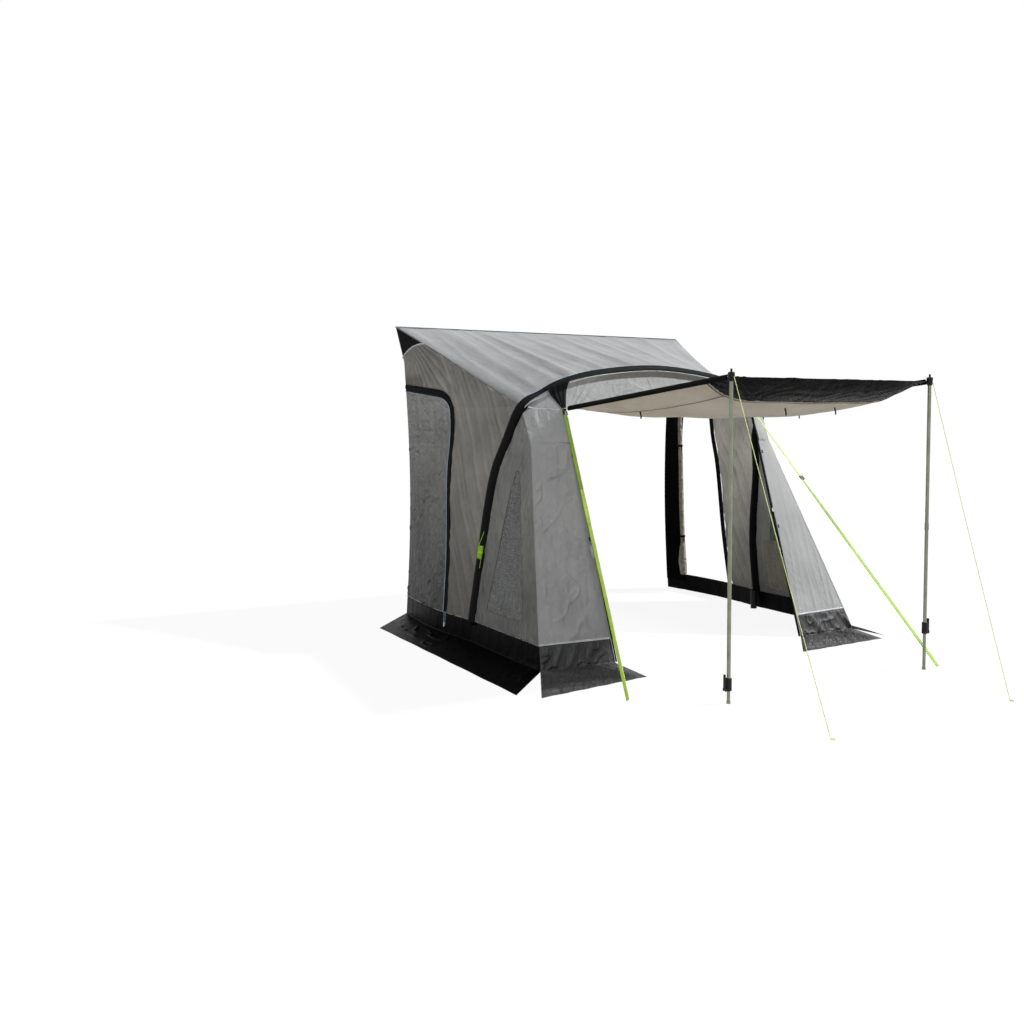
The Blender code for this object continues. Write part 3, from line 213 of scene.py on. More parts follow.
def aim_camera():
    sine, cosine = math.sin(CAMERA_YAW), math.cos(CAMERA_YAW)
    level = math.cos(CAMERA_PITCH)
    forward = Vector((sine * level, cosine * level, math.sin(CAMERA_PITCH)))
    right = Vector((cosine, -sine, 0))
    up = right.cross(forward)
    turn = math.cos(CAMERA_ROLL), math.sin(CAMERA_ROLL)
    rolled_right = right * turn[0] + up * turn[1]
    rolled_up = up * turn[0] - right * turn[1]
    data = bpy.data.cameras.new("photo_camera")
    data.sensor_fit = "HORIZONTAL"
    data.lens = data.sensor_width * FOCAL_PIXELS / PHOTO_PIXELS
    data.shift_y = -AXIS_RISE_PIXELS / PHOTO_PIXELS
    data.clip_end = 100
    camera = bpy.data.objects.new("photo_camera", data)
    axes = Matrix((rolled_right, rolled_up, -forward)).transposed().to_4x4()
    camera.matrix_world = Matrix.Translation(CAMERA_PLACE) @ axes
    bpy.context.scene.collection.objects.link(camera)
    bpy.context.scene.camera = camera


aim_camera()


# Numbers, points and curves, all on arrays

SLOPE_STEP = 1e-3
TINY = 1e-12


def mix(first, second, share):
    return first + (second - first) * share


def arrays(*values):
    """The values as arrays of one shape."""
    return np.broadcast_arrays(*(np.asarray(value, float) for value in values))


def between(first, second, share):
    """Points between two points, or between two arrays of them."""
    return first + (second - first) * np.asarray(share, float)[..., None]


def ease(share):
    share = np.clip(share, 0, 1)
    return share * share * (3 - 2 * share)


def place(half, out, height):
    half, out, height = arrays(half, out, height)
    return np.stack([half, WALL_Y - out, height], axis=-1)


def mirrored(points, side):
    return points * np.array([side, 1.0, 1.0])


def sided(surface, side):
    return lambda u, v: mirrored(surface(u, v), side)


def unit(vectors):
    return vectors / np.maximum(np.linalg.norm(vectors, axis=-1, keepdims=True), TINY)


def slopes(surface, u, v):
    """How far a surface moves with each of its two values."""
    return (surface(u + SLOPE_STEP, v) - surface(u - SLOPE_STEP, v),
            surface(u, v + SLOPE_STEP) - surface(u, v - SLOPE_STEP))


def smooth_path(points, steps):
    """Points along a Catmull-Rom curve through the given ones."""
    points = np.asarray(points, float)
    ends = np.vstack([2 * points[0] - points[1], points, 2 * points[-1] - points[-2]])
    path = []
    for start in range(1, len(ends) - 2):
        before, first, second, after = ends[start - 1:start + 3]
        for step in range(steps):
            t = step / steps
            path.append((first * 2 + (second - before) * t
                         + (before * 2 - first * 5 + second * 4 - after) * t ** 2
                         + (first * 3 - before - second * 3 + after) * t ** 3) / 2)
    return np.array(path + [points[-1]])


def lengths_along(points):
    return np.concatenate([[0.0], np.cumsum(np.linalg.norm(np.diff(points, axis=0), axis=1))])


def read_line(points, keys, value):
    """The points of a line at the given values, where keys holds each point's own value."""
    return np.stack([np.interp(value, keys, column) for column in points.T], axis=-1)


def resampled(points, pitch):
    """The same line with its points evenly spaced, about pitch apart."""
    points = np.asarray(points, float)
    lengths = lengths_along(points)
    count = max(2, int(round(lengths[-1] / pitch)) + 1)
    return read_line(points, lengths, np.linspace(0, lengths[-1], count))


# The awning's surfaces, as the frame has them

def beam_points():
    leg = [place(mix(BEAM_FOOT_HALF, SHOULDER_HALF, inward), mix(BEAM_FOOT_OUT, SHOULDER_OUT, forward),
                 SHOULDER_HEIGHT * height) for height, inward, forward in LEG_SHARES]
    arch = [place(SHOULDER_HALF * half, mix(SHOULDER_OUT, CROWN_OUT, rise),
                  mix(SHOULDER_HEIGHT, CROWN_HEIGHT, rise)) for half, rise in ARCH_SHARES]
    half_beam = np.array(leg + arch)
    return np.vstack([half_beam, mirrored(half_beam[-2::-1], -1)])


BEAM_PATH = smooth_path(beam_points(), BEAM_STEPS)
LEG_COUNT = (len(LEG_SHARES) - 1) * BEAM_STEPS
LEG_PATH = BEAM_PATH[:LEG_COUNT + 1]
ARCH_PATH = BEAM_PATH[LEG_COUNT:-LEG_COUNT][::-1]


def on_leg(height):
    point = read_line(LEG_PATH, LEG_PATH[:, 2], height)
    point[..., 2] = height
    return point


def leg_out(height):
    return WALL_Y - on_leg(height)[..., 1]


def on_arch(half):
    return read_line(ARCH_PATH, ARCH_PATH[:, 0], half)


def rear_half(height):
    bowed = BASE_HALF - REAR_BOW * np.sin(np.pi * height / FLARE_HEIGHT)
    flared = mix(BASE_HALF, RAIL_HALF, (height - FLARE_HEIGHT) / (RAIL_HEIGHT - FLARE_HEIGHT))
    return np.where(height < FLARE_HEIGHT, bowed, flared)


def eave_height(share):
    return mix(RAIL_HEIGHT, SHOULDER_HEIGHT, share) - EAVE_SAG * np.sin(np.pi * share)


def on_aft(share, height):
    """The right side wall between the caravan, share 0, and the air beam, share 1."""
    share, height = arrays(share, height)
    point = between(place(rear_half(height), 0, height), on_leg(height), share)
    slack = 1 - np.minimum(1.0, height / eave_height(share)) ** BILLOW_POWER
    point[..., 0] += AFT_BILLOW * np.sin(np.pi * share) * slack
    point[..., 2] = height
    return point


def on_corner(height):
    """The ridge between the side wall and the front panel."""
    height = np.asarray(height, float)
    crease = place(CREASE_HALF, CREASE_OUT, CREASE_HEIGHT)
    low = between(place(CORNER_HALF, CORNER_OUT, 0), crease, height / CREASE_HEIGHT)
    high = between(crease, place(SHOULDER_HALF, SHOULDER_OUT, SHOULDER_HEIGHT),
                   (height - CREASE_HEIGHT) / (SHOULDER_HEIGHT - CREASE_HEIGHT))
    return np.where((height < CREASE_HEIGHT)[..., None], low, high)


def ridge_out(height):
    return WALL_Y - on_corner(height)[..., 1]


def on_fore(share, height):
    """The right side wall between the air beam, share 0, and the corner ridge, share 1."""
    share, height = arrays(share, height)
    return between(on_leg(height), on_corner(height), share)


def on_doorway(height):
    """The edge of the front panel beside the open doorway."""
    return between(place(DOORWAY_HALF, DOORWAY_OUT, 0), place(HINGE_HALF, HINGE_OUT, HINGE_HEIGHT),
                   np.asarray(height, float) / HINGE_HEIGHT)


def on_front(share, height):
    """The right front panel, from the ridge to the doorway, creased across its upper corner."""
    share, height = arrays(share, height)
    crease = place(CREASE_HALF, CREASE_OUT, CREASE_HEIGHT)
    hinge = place(HINGE_HALF, HINGE_OUT, HINGE_HEIGHT)
    shoulder = place(SHOULDER_HALF, SHOULDER_OUT, SHOULDER_HEIGHT)
    foot = place(CORNER_HALF, CORNER_OUT, 0)
    point = between(on_corner(height), on_doorway(height), share)
    lower = between(between(foot, crease, height / CREASE_HEIGHT), on_doorway(height), share)[..., 1]
    normal = np.cross(crease - hinge, shoulder - hinge)

    def corner_plane(x, z):
        return hinge[1] - (normal[0] * (x - hinge[0]) + normal[2] * (z - hinge[2])) / normal[1]
    nearer = np.minimum if corner_plane(foot[0], foot[2]) > foot[1] else np.maximum
    folded = nearer(lower, corner_plane(point[..., 0], height))
    return np.stack([point[..., 0], np.where(height < CREASE_HEIGHT, point[..., 1], folded), height],
                    axis=-1)


def on_header(share, drop):
    """The panel below the arch: share runs -1 to 1 along it, drop 0 to 1 from arch to canopy."""
    share, drop = arrays(share, drop)
    top = on_arch(SHOULDER_HALF * share)
    half = SHOULDER_HALF * np.abs(share)
    hinge = place(np.minimum(half, HINGE_HALF), HINGE_OUT, HINGE_HEIGHT)
    shoulder = place(SHOULDER_HALF, SHOULDER_OUT, SHOULDER_HEIGHT)
    low = between(hinge, shoulder, np.maximum(0.0, half - HINGE_HALF) / (SHOULDER_HALF - HINGE_HALF))
    low[..., 0] *= np.where(share < 0, -1.0, 1.0)
    return between(top, low, drop)


def on_roof(share, out_share):
    share, out_share = arrays(share, out_share)
    rail = place(RAIL_HALF * share, 2 * BEAD_RADIUS + GAP, RAIL_HEIGHT)
    point = between(rail, on_arch(SHOULDER_HALF * share), out_share)
    straight = between(place(RAIL_HALF, 0, RAIL_HEIGHT),
                       place(SHOULDER_HALF, SHOULDER_OUT, SHOULDER_HEIGHT), out_share)
    shift = on_aft(out_share, eave_height(out_share)) - straight
    shift[..., 0] *= np.where(share < 0, -1.0, 1.0)
    return point + shift * (np.abs(share) ** EAVE_POWER)[..., None]


def canopy_sag(across, share):
    profile = smooth_path(CANOPY_PROFILE_SHARES, BEAM_STEPS)
    depth = np.interp(share, profile[:, 0], profile[:, 1])
    ripple = CANOPY_RIPPLE * np.cos(CANOPY_RIPPLES * across) * np.sin(np.pi * share)
    return (CANOPY_SAG * depth + ripple) * (1 - np.abs(across) ** CANOPY_EDGE_POWER)


def on_canopy(across, share):
    """The canopy: across runs -1 to 1, share 0 at the header to 1 at the poles."""
    across, share = arrays(across, share)
    rear = HINGE_HALF - TAB_WIDTH / 2 - CLOTH / 2
    start = place(across * rear, HINGE_OUT + 2 * GAP, HINGE_HEIGHT)
    point = between(start, place(across * POLE_HALF, POLE_OUT, POLE_HEIGHT), share)
    point[..., 2] -= canopy_sag(across, share)
    return point


def aft_at(out, height):
    """The point of the right side wall that far out from the caravan."""
    return on_aft(out / leg_out(height), height)


def fore_at(out, height):
    """The point of the right wall's front panel that far out from the caravan."""
    start, end = leg_out(height), ridge_out(height)
    return on_fore((out - start) / np.maximum(end - start, GAP), height)


def on_side_foot(share, height):
    """The whole right mud wall: share 0 at the caravan, half at the beam, 1 at the corner."""
    rear = on_aft(np.minimum(2 * share, 1), height)
    front = on_fore(np.maximum(2 * share - 1, 0), height)
    return np.where((share < 0.5)[..., None], rear, front)


def spanned(surface, first, last, low, high):
    """A surface read over part of its shares, as a unit patch; low and high may follow u."""
    def patch(u, v):
        across = mix(first, last, u)
        start = low(across) if callable(low) else low
        end = high(across) if callable(high) else high
        return surface(across, mix(start, end, v))
    return patch


def bent(start, corner, end, steps=16):
    """Points along a parabola from start to end that its corner draws aside."""
    return np.array([mix(mix(start, corner, share), mix(corner, end, share), share)
                     for share in np.linspace(0, 1, steps)])


def door_edge(inset):
    """The door's edge in (out, height) from its foot round its upper corner to the caravan."""
    foot = np.array([DOOR_FOOT_OUT - inset, 0.0])
    head = np.array([DOOR_HEAD_OUT - inset, DOOR_HEAD_HEIGHT - inset])
    rear = np.array([0.0, DOOR_REAR_HEIGHT - inset])
    down, back = unit(foot - head), unit(rear - head)
    tangent = (DOOR_CORNER - inset) / math.tan(math.acos(float(down @ back)) / 2)
    start, end = head + down * tangent, head + back * tangent
    mud = mix(foot, start, MUD_HEIGHT / start[1])
    return np.vstack([mud, bent(start, head, end), rear])


def door_front(height):
    """How far out the straight front edge of the door lies."""
    return DOOR_FOOT_OUT - (DOOR_FOOT_OUT - DOOR_HEAD_OUT) / DOOR_HEAD_HEIGHT * height


def gusset_edge():
    """The gusset's lower edge in (out, height), from the rear edge up to the eave."""
    low = np.array([0.0, RAIL_HEIGHT - GUSSET_DROP])
    high = np.array([GUSSET_RUN, float(eave_height(GUSSET_RUN / SHOULDER_OUT))])
    return bent(low, np.array([GUSSET_RUN / 2, RAIL_HEIGHT - GUSSET_EAVE_DROP]), high)


def eave_line(first, last, steps=40):
    """The eave in (out, height) between two shares."""
    shares = np.linspace(first, last, steps)
    heights = eave_height(shares)
    return np.stack([shares * leg_out(heights), heights], axis=1)


def upright(out_at, low, high, steps=60):
    """A line up a wall in (out, height), as far out as out_at says at each height."""
    heights = np.linspace(low, high, steps)
    return np.stack([out_at(heights), heights], axis=1)


def window_edge(inset):
    run = WINDOW_TOP_RUN / 2
    low, high = WINDOW_LOW + inset, WINDOW_TOP - inset
    return np.array([(WINDOW_LOW_REAR + inset, low), (WINDOW_LOW_FRONT - 2 * inset, low),
                     (WINDOW_TOP_OUT + run - inset, high), (WINDOW_TOP_OUT - run + inset, high)])


# Folds and creases: heights over a flat cloth

TABLE_SIZE = 128

# Long folds by name: their height, pitch, stray, seed and sharpness
FOLDS = {
    "roof_long": (0.026, 0.31, 0.30, 11, 3.5),
    "roof_short": (0.0075, 0.150, 0.4, 12, 2.6),
    "roof_fine": (0.0008, 0.055, 0.8, 13, 1.8),
    "roof_beam": (0.0050, 0.050, 0.5, 15, 2.0),
    "header_fan": (0.0090, 0.16, 0.5, 21, 2.5),
    "header_fine": (0.0024, 0.075, 0.8, 23, 2),
    "canopy_front": (0.016, 0.060, 0.6, 33, 2.0),
    "canopy_corner": (0.010, 0.13, 0.4, 34, 2),
    "wall_tension": (0.0140, 0.118, 0.35, 41, 3.0),
    "wall_fine": (0.0060, 0.052, 0.6, 44, 2.2),
    "wall_hung": (0.0150, 0.056, 0.35, 43, 2.4),
    "door_hung": (0.0170, 0.100, 0.40, 51, 2.2),
    "fore_leg": (0.0085, 0.042, 0.5, 61, 2.2),
    "fore_gathers": (0.0085, 0.034, 0.3, 62, 1.8),
    "rail_gusset": (0.010, 0.055, 0.5, 71, 2.0),
    "window": (0.0020, 0.07, 0.5, 81, 1.5),
    "draught_strip": (0.0015, 0.05, 0.5, 95, 1.6),
    "front_left": (0.0030, 0.075, 0.5, 103, 2.0),
    "front_right": (0.0045, 0.085, 0.7, 112, 2.6),
    "side_foot": (0.0022, 0.140, 0.5, 121, 2.2),
    "front_foot": (0.0150, 0.150, 0.5, 131, 3.0),
    "front_flap": (0.0280, 0.20, 0.12, 133, 3.5),
    "sleeve": (0.0026, 0.034, 0.5, 141, 2.0),
    "corner_gusset": (0.011, 0.045, 0.25, 151, 1.6),
    "roll": (0.0030, 0.024, 0.6, 161, 1.8),
    "blind": (0.0035, 0.042, 0.6, 171, 2.0),
}

# Crumples by name: their height, pitch, sharpness and seed
CRUMPLES = {
    "roof": (0.0024, 0.10, 5, 14),
    "header": (0.0036, 0.09, 5, 22),
    "canopy_broad": (0.0040, 0.12, 4, 31),
    "canopy_fine": (0.0030, 0.05, 4, 32),
    "canopy_front": (0.020, 0.07, 4, 35),
    "wall": (0.0040, 0.13, 5, 42),
    "door_broad": (0.0200, 0.095, 5, 52),
    "door_fine": (0.0055, 0.050, 4, 53),
    "fore": (0.0034, 0.08, 5, 63),
    "zip_band": (0.0012, 0.03, 3, 91),
    "front_left_broad": (0.0190, 0.115, 8, 101),
    "front_left_slanted": (0.0090, 0.060, 6, 102),
    "front_right_long": (0.0075, 0.085, 6, 111),
    "front_right_fine": (0.0028, 0.05, 5, 113),
    "side_foot": (0.0020, 0.08, 4, 122),
    "side_flap": (0.0080, 0.20, 5, 123),
    "side_flap_tip": (0.008, 0.050, 3, 125),
    "front_foot": (0.0220, 0.075, 6, 132),
    "sleeve": (0.0010, 0.035, 4, 142),
    "roll": (0.0028, 0.045, 4, 162),
    "blind": (0.0030, 0.05, 4, 172),
}


def noise(x, y, seed):
    """Smooth noise from -1 to 1 over a plane, the same each run."""
    table = np.random.default_rng(seed).random((TABLE_SIZE, TABLE_SIZE)) * 2 - 1
    x, y = arrays(x, y)
    left, low = np.floor(x).astype(int), np.floor(y).astype(int)
    a, b = ease(x - left), ease(y - low)

    def corner(right, up):
        return table[(left + right) % TABLE_SIZE, (low + up) % TABLE_SIZE]
    return mix(mix(corner(0, 0), corner(1, 0), a), mix(corner(0, 1), corner(1, 1), a), b)


def crumples(name, x, y):
    """Raised creases that wander over a cloth and come in patches."""
    height, pitch, sharp, seed = CRUMPLES[name]
    x, y = x / pitch, y / pitch
    warp = 0.5 * noise(x + 31, y + 17, seed + 1)
    ridge = (1 - np.abs(noise(x + warp, y - warp, seed))) ** sharp
    return height * (ridge * ease(0.5 + 0.9 * noise(x / 2.7, y / 2.7, seed + 2)))


def folds(name, across, run):
    """Long folds side by side, each as high as it comes; run goes along them."""
    height, pitch, stray, seed, sharp = FOLDS[name]
    across, run = across / pitch, run / pitch
    phase = across + stray * noise(run / 6, across / 3, seed)
    wave = (0.5 + 0.5 * np.cos(2 * np.pi * phase)) ** sharp
    return height * (wave * (0.55 + 0.45 * noise(np.round(phase) * 5.3, run / 5, seed + 1)))


def away_from(value, start, reach):
    """0 at a seam and 1 from reach beyond it."""
    return ease((value - start) / reach)


def within(share, reach):
    """0 at both ends of a share and 1 beyond reach from them."""
    return away_from(share, 0, reach) * away_from(1 - share, 0, reach)


# Meshes of cloth

POINT_GAP_SHARE = 0.7
ROW_SHARE = math.sqrt(0.75)
ZIP_TOOTH_WIDTH = 0.0045
ZIP_TOOTH_HEIGHT = 0.0016
ZIP_PITCH = 0.0055
ZIP_SWAY_SHARE = 0.28
ZIP_TOOTH_SHARE = 0.3
BAND_SHARES = np.array([-0.5, -0.46, -0.25, 0, 0.25, 0.46, 0.5])
BAND_TOP_SHARES = np.array([0.55, 0.95, 1, 1, 1, 0.95, 0.55])


def link(name, data):
    made = bpy.data.objects.new(name, data)
    bpy.context.scene.collection.objects.link(made)
    return made


def settle(made, slot, *replaced, body="awning"):
    """Puts a piece on its body, in place of the frame's own nodes; the slot is not used."""
    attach(made, body)
    if replaced:
        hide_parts(*replaced)
    return made


def quads(rows, columns, closed=False):
    """The faces between rows of points, where a closed row runs round."""
    at = np.arange(columns if closed else columns - 1)
    row = np.arange(rows - 1)[:, None] * columns
    first, second = (row + at).ravel(), (row + (at + 1) % columns).ravel()
    return np.stack([first, second, second + columns, first + columns], axis=1)


def capped(rows, columns):
    """The faces of a tube of points, with one over each end."""
    last = (rows - 1) * columns
    ends = [list(range(columns))[::-1], list(range(last, last + columns))]
    return quads(rows, columns, True).tolist() + ends


def grid(columns, rows):
    """A unit patch of quads: its shares as arrays, and its faces."""
    u, v = np.meshgrid(np.linspace(0, 1, columns + 1), np.linspace(0, 1, rows + 1))
    return u, v, quads(rows + 1, columns + 1)


def inside(points, loops):
    """Which points lie inside an odd number of loops."""
    odd = np.zeros(len(points), bool)
    for loop in loops:
        for first, second in zip(loop, np.roll(loop, -1, axis=0)):
            crosses = (first[1] > points[:, 1]) != (second[1] > points[:, 1])
            if crosses.any():
                slope = (second[0] - first[0]) / (second[1] - first[1] + 1e-15)
                odd ^= crosses & (points[:, 0] < first[0] + (points[:, 1] - first[1]) * slope)
    return odd


def cut_out(pitch, *outlines):
    """A flat shape of triangles inside the first outline and outside the others."""
    loops = [resampled(np.vstack([outline, outline[:1]]), pitch)[:-1] for outline in outlines]
    low, high = loops[0].min(0), loops[0].max(0)
    rows = int((high[1] - low[1]) / (pitch * ROW_SHARE)) + 1
    columns = int((high[0] - low[0]) / pitch) + 2
    x, y = np.meshgrid(np.arange(columns, dtype=float), np.arange(rows, dtype=float))
    x = low[0] + (x + 0.5 * (np.arange(rows) % 2)[:, None]) * pitch
    y = low[1] + y * pitch * ROW_SHARE
    middle = np.stack([x.ravel(), y.ravel()], axis=1)
    middle = middle[inside(middle, loops)]
    edge = np.vstack(loops)
    clear = np.ones(len(middle), bool)
    for point in edge:
        clear &= np.abs(middle - point).max(1) >= POINT_GAP_SHARE * pitch
    vertices = np.vstack([edge, middle[clear]])
    edges, start = [], 0
    for loop in loops:
        edges += [(start + index, start + (index + 1) % len(loop)) for index in range(len(loop))]
        start += len(loop)
    made = delaunay_2d_cdt([Vector(point) for point in vertices], edges, [], 0, 1e-6)
    flat = np.array([tuple(point) for point in made[0]])
    faces = np.array([face for face in made[2] if len(face) == 3])
    faces = faces[inside(flat[faces].mean(1), loops)]
    return flat[:, 0], flat[:, 1], faces


def normals_of(surface, u, v, outward):
    """The surface's outward normals, from its slopes."""
    normals = unit(np.cross(*slopes(surface, u, v)))
    return -normals if (normals @ np.asarray(outward, float)).sum() < 0 else normals


def areas(points, faces):
    if faces.shape[1] == 4:
        faces = np.vstack([faces[:, [0, 1, 2]], faces[:, [0, 2, 3]]])
    a, b, c = (points[faces[:, index]] for index in range(3))
    return np.cross(b - a, c - a) / 2


def mesh_piece(name, points, faces, looks, flat=None, which=None):
    """A smooth mesh with its cloth coordinates, in metres, in a map named flat."""
    mesh = bpy.data.meshes.new(name)
    mesh.from_pydata(np.asarray(points).tolist(), [], faces if isinstance(faces, list) else faces.tolist())
    if flat is not None:
        order = np.array([loop.vertex_index for loop in mesh.loops])
        layer = mesh.uv_layers.new(name="flat")
        layer.uv.foreach_set("vector", flat[order].astype(np.float32).ravel())
    for look in looks if isinstance(looks, (list, tuple)) else [looks]:
        mesh.materials.append(look)
    if which is not None:
        mesh.polygons.foreach_set("material_index", which.astype(np.int32))
    mesh.shade_smooth()
    return link(name, mesh)


def add_skin(made):
    shell = made.modifiers.new("skin", "SOLIDIFY")
    shell.thickness = SKIN
    shell.offset = -1


def cloth(name, surface, domain, outward, looks, slot, relief=None, body="awning", replaces=(),
          inset=INSET, which=None):
    """A sheet of cloth laid over a surface, its folds raised along the outward normal."""
    u, v, faces = domain
    base = surface(u, v)
    normals = normals_of(surface, u, v, outward)
    if u.ndim == 2:
        across = np.linalg.norm(np.diff(base, axis=1), axis=2)
        upward = np.linalg.norm(np.diff(base, axis=0), axis=2)
        s = np.hstack([np.zeros((len(u), 1)), np.cumsum(across, axis=1)])
        t = np.vstack([np.zeros((1, u.shape[1])), np.cumsum(upward, axis=0)])
    else:
        s, t = u, v
    height = relief(s, t, u, v) if relief else np.zeros(u.shape)
    points = (base + normals * (height - inset)[..., None]).reshape(-1, 3)
    if areas(points, faces).sum(0) @ np.asarray(outward, float) < 0:
        faces = faces[:, ::-1]
    made = mesh_piece(name, points, faces, looks, np.stack([s.ravel(), t.ravel()], axis=1), which)
    add_skin(made)
    settle(made, slot, *replaces, body=body)


def tube(kind, word, path, sides=8, closed=False):
    """A round cord of trim along a path."""
    name = "_".join(part for part in (kind, word) if part)
    radius, look, slot = TUBES[kind]
    curve = bpy.data.curves.new(name, "CURVE")
    curve.dimensions = "3D"
    curve.bevel_depth = radius
    curve.bevel_resolution = sides // 4
    curve.use_fill_caps = True
    spline = curve.splines.new("POLY")
    spline.points.add(len(path) - 1)
    spline.use_cyclic_u = closed
    for index, point in enumerate(path):
        spline.points[index].co = (*point, 1)
    spline.use_smooth = True
    curve.materials.append(look)
    return settle(link(name, curve), slot)


def swept(path, ring, across, outward):
    """A section carried along a path: ring holds (sideways, outward) places of its points."""
    points = path[:, None, :] + across[:, None, :] * ring[..., :1] + outward[:, None, :] * ring[..., 1:]
    return points.reshape(-1, 3), quads(*points.shape[:2], True)


def carried(path, section, across, outward):
    """One section carried along a path, with its cloth coordinates."""
    ring = np.broadcast_to(section, (len(path), *section.shape))
    flat = np.stack([np.tile(section[:, 0], len(path)),
                     np.repeat(lengths_along(path), len(section))], axis=1)
    return *swept(path, ring, across, outward), flat


def frame_along(path, outward):
    """Each point's sideways and outward directions on a path that lies on a surface."""
    tangent = unit(np.gradient(path, axis=0))
    across = unit(np.cross(tangent, np.broadcast_to(outward, path.shape)))
    return across, unit(np.cross(across, tangent))


def ribbon(kind, word, path, outward, look=None, lift=0.0):
    """A flat band of trim on a surface, its back on the path, its middle raised by its crown."""
    name = "_".join(part for part in (kind, word) if part)
    width, thickness, crown, own_look, slot = BANDS[kind]
    sideways = BAND_SHARES * width
    top = thickness * BAND_TOP_SHARES + crown * (1 - (2 * sideways / width) ** 2)
    section = np.vstack([np.stack([sideways, top + lift], axis=1),
                         np.stack([sideways[::-1], np.full(len(sideways), lift)], axis=1)])
    points, _, flat = carried(path, section, *frame_along(path, outward))
    return settle(mesh_piece(name, points, capped(len(path), len(section)), look or own_look, flat), slot)


def zip_teeth(name, path, outward):
    """A coil zip: a row of small teeth along a path, half of them from each side."""
    path = resampled(path, ZIP_PITCH)
    across, out = frame_along(path, outward)
    tangent = unit(np.gradient(path, axis=0))
    corners = np.array([(x, y, z) for z in (0, 1) for x, y in ((-1, -1), (1, -1), (1, 1), (-1, 1))], float)
    box = np.array([(0, 3, 2, 1), (4, 5, 6, 7), (0, 1, 5, 4), (1, 2, 6, 5), (2, 3, 7, 6), (3, 0, 4, 7)])
    sway = np.where(np.arange(len(path)) % 2, ZIP_SWAY_SHARE, -ZIP_SWAY_SHARE) * ZIP_TOOTH_WIDTH
    points = (path[:, None] + across[:, None] * (sway[:, None, None] + corners[:, :1] * ZIP_TOOTH_WIDTH / 2)
              + tangent[:, None] * corners[:, 1:2] * ZIP_PITCH * ZIP_TOOTH_SHARE
              + out[:, None] * (corners[:, 2:] * ZIP_TOOTH_HEIGHT)).reshape(-1, 3)
    faces = (box + np.arange(len(path))[:, None, None] * len(corners)).reshape(-1, 4)
    settle(mesh_piece(name, points, faces, BLACK_PLASTIC, points[:, 1:]), "zip_metal")


# Materials

FULL = (1.0, 1.0, 1.0)


def grey(level):
    return (level,) * 3


def tinted(colour, factor):
    return tuple(min(1.0, channel * factor) for channel in colour)


class Tree:
    """A tree of shader nodes and short ways to add to it."""

    def __init__(self, tree):
        self.tree = tree

    def add(self, kind, **values):
        made = self.tree.nodes.new("ShaderNode" + kind)
        for key, value in values.items():
            setattr(made, key, value)
        return made

    def join(self, output, target):
        self.tree.links.new(output, target)

    def feed(self, socket, value):
        """Sets a socket to a number or a colour, or joins an output to it."""
        if isinstance(value, (int, float)):
            socket.default_value = value
        elif isinstance(value, tuple):
            socket.default_value = (*value, 1.0)
        else:
            self.join(value, socket)

    def math(self, operation, first, second=0.0):
        made = self.add("Math", operation=operation)
        self.feed(made.inputs[0], first)
        self.feed(made.inputs[1], second)
        return made.outputs[0]

    def span(self, value, low, high):
        made = self.add("MapRange")
        made.inputs["To Min"].default_value = low
        made.inputs["To Max"].default_value = high
        self.join(value, made.inputs["Value"])
        return made.outputs[0]

    def seen_directly(self):
        """1 for what the camera sees, straight or in a reflection or through glass."""
        path = self.add("LightPath")
        seen = self.math("MAXIMUM", path.outputs["Is Camera Ray"], path.outputs["Is Glossy Ray"])
        return self.math("MAXIMUM", seen, path.outputs["Is Transmission Ray"])


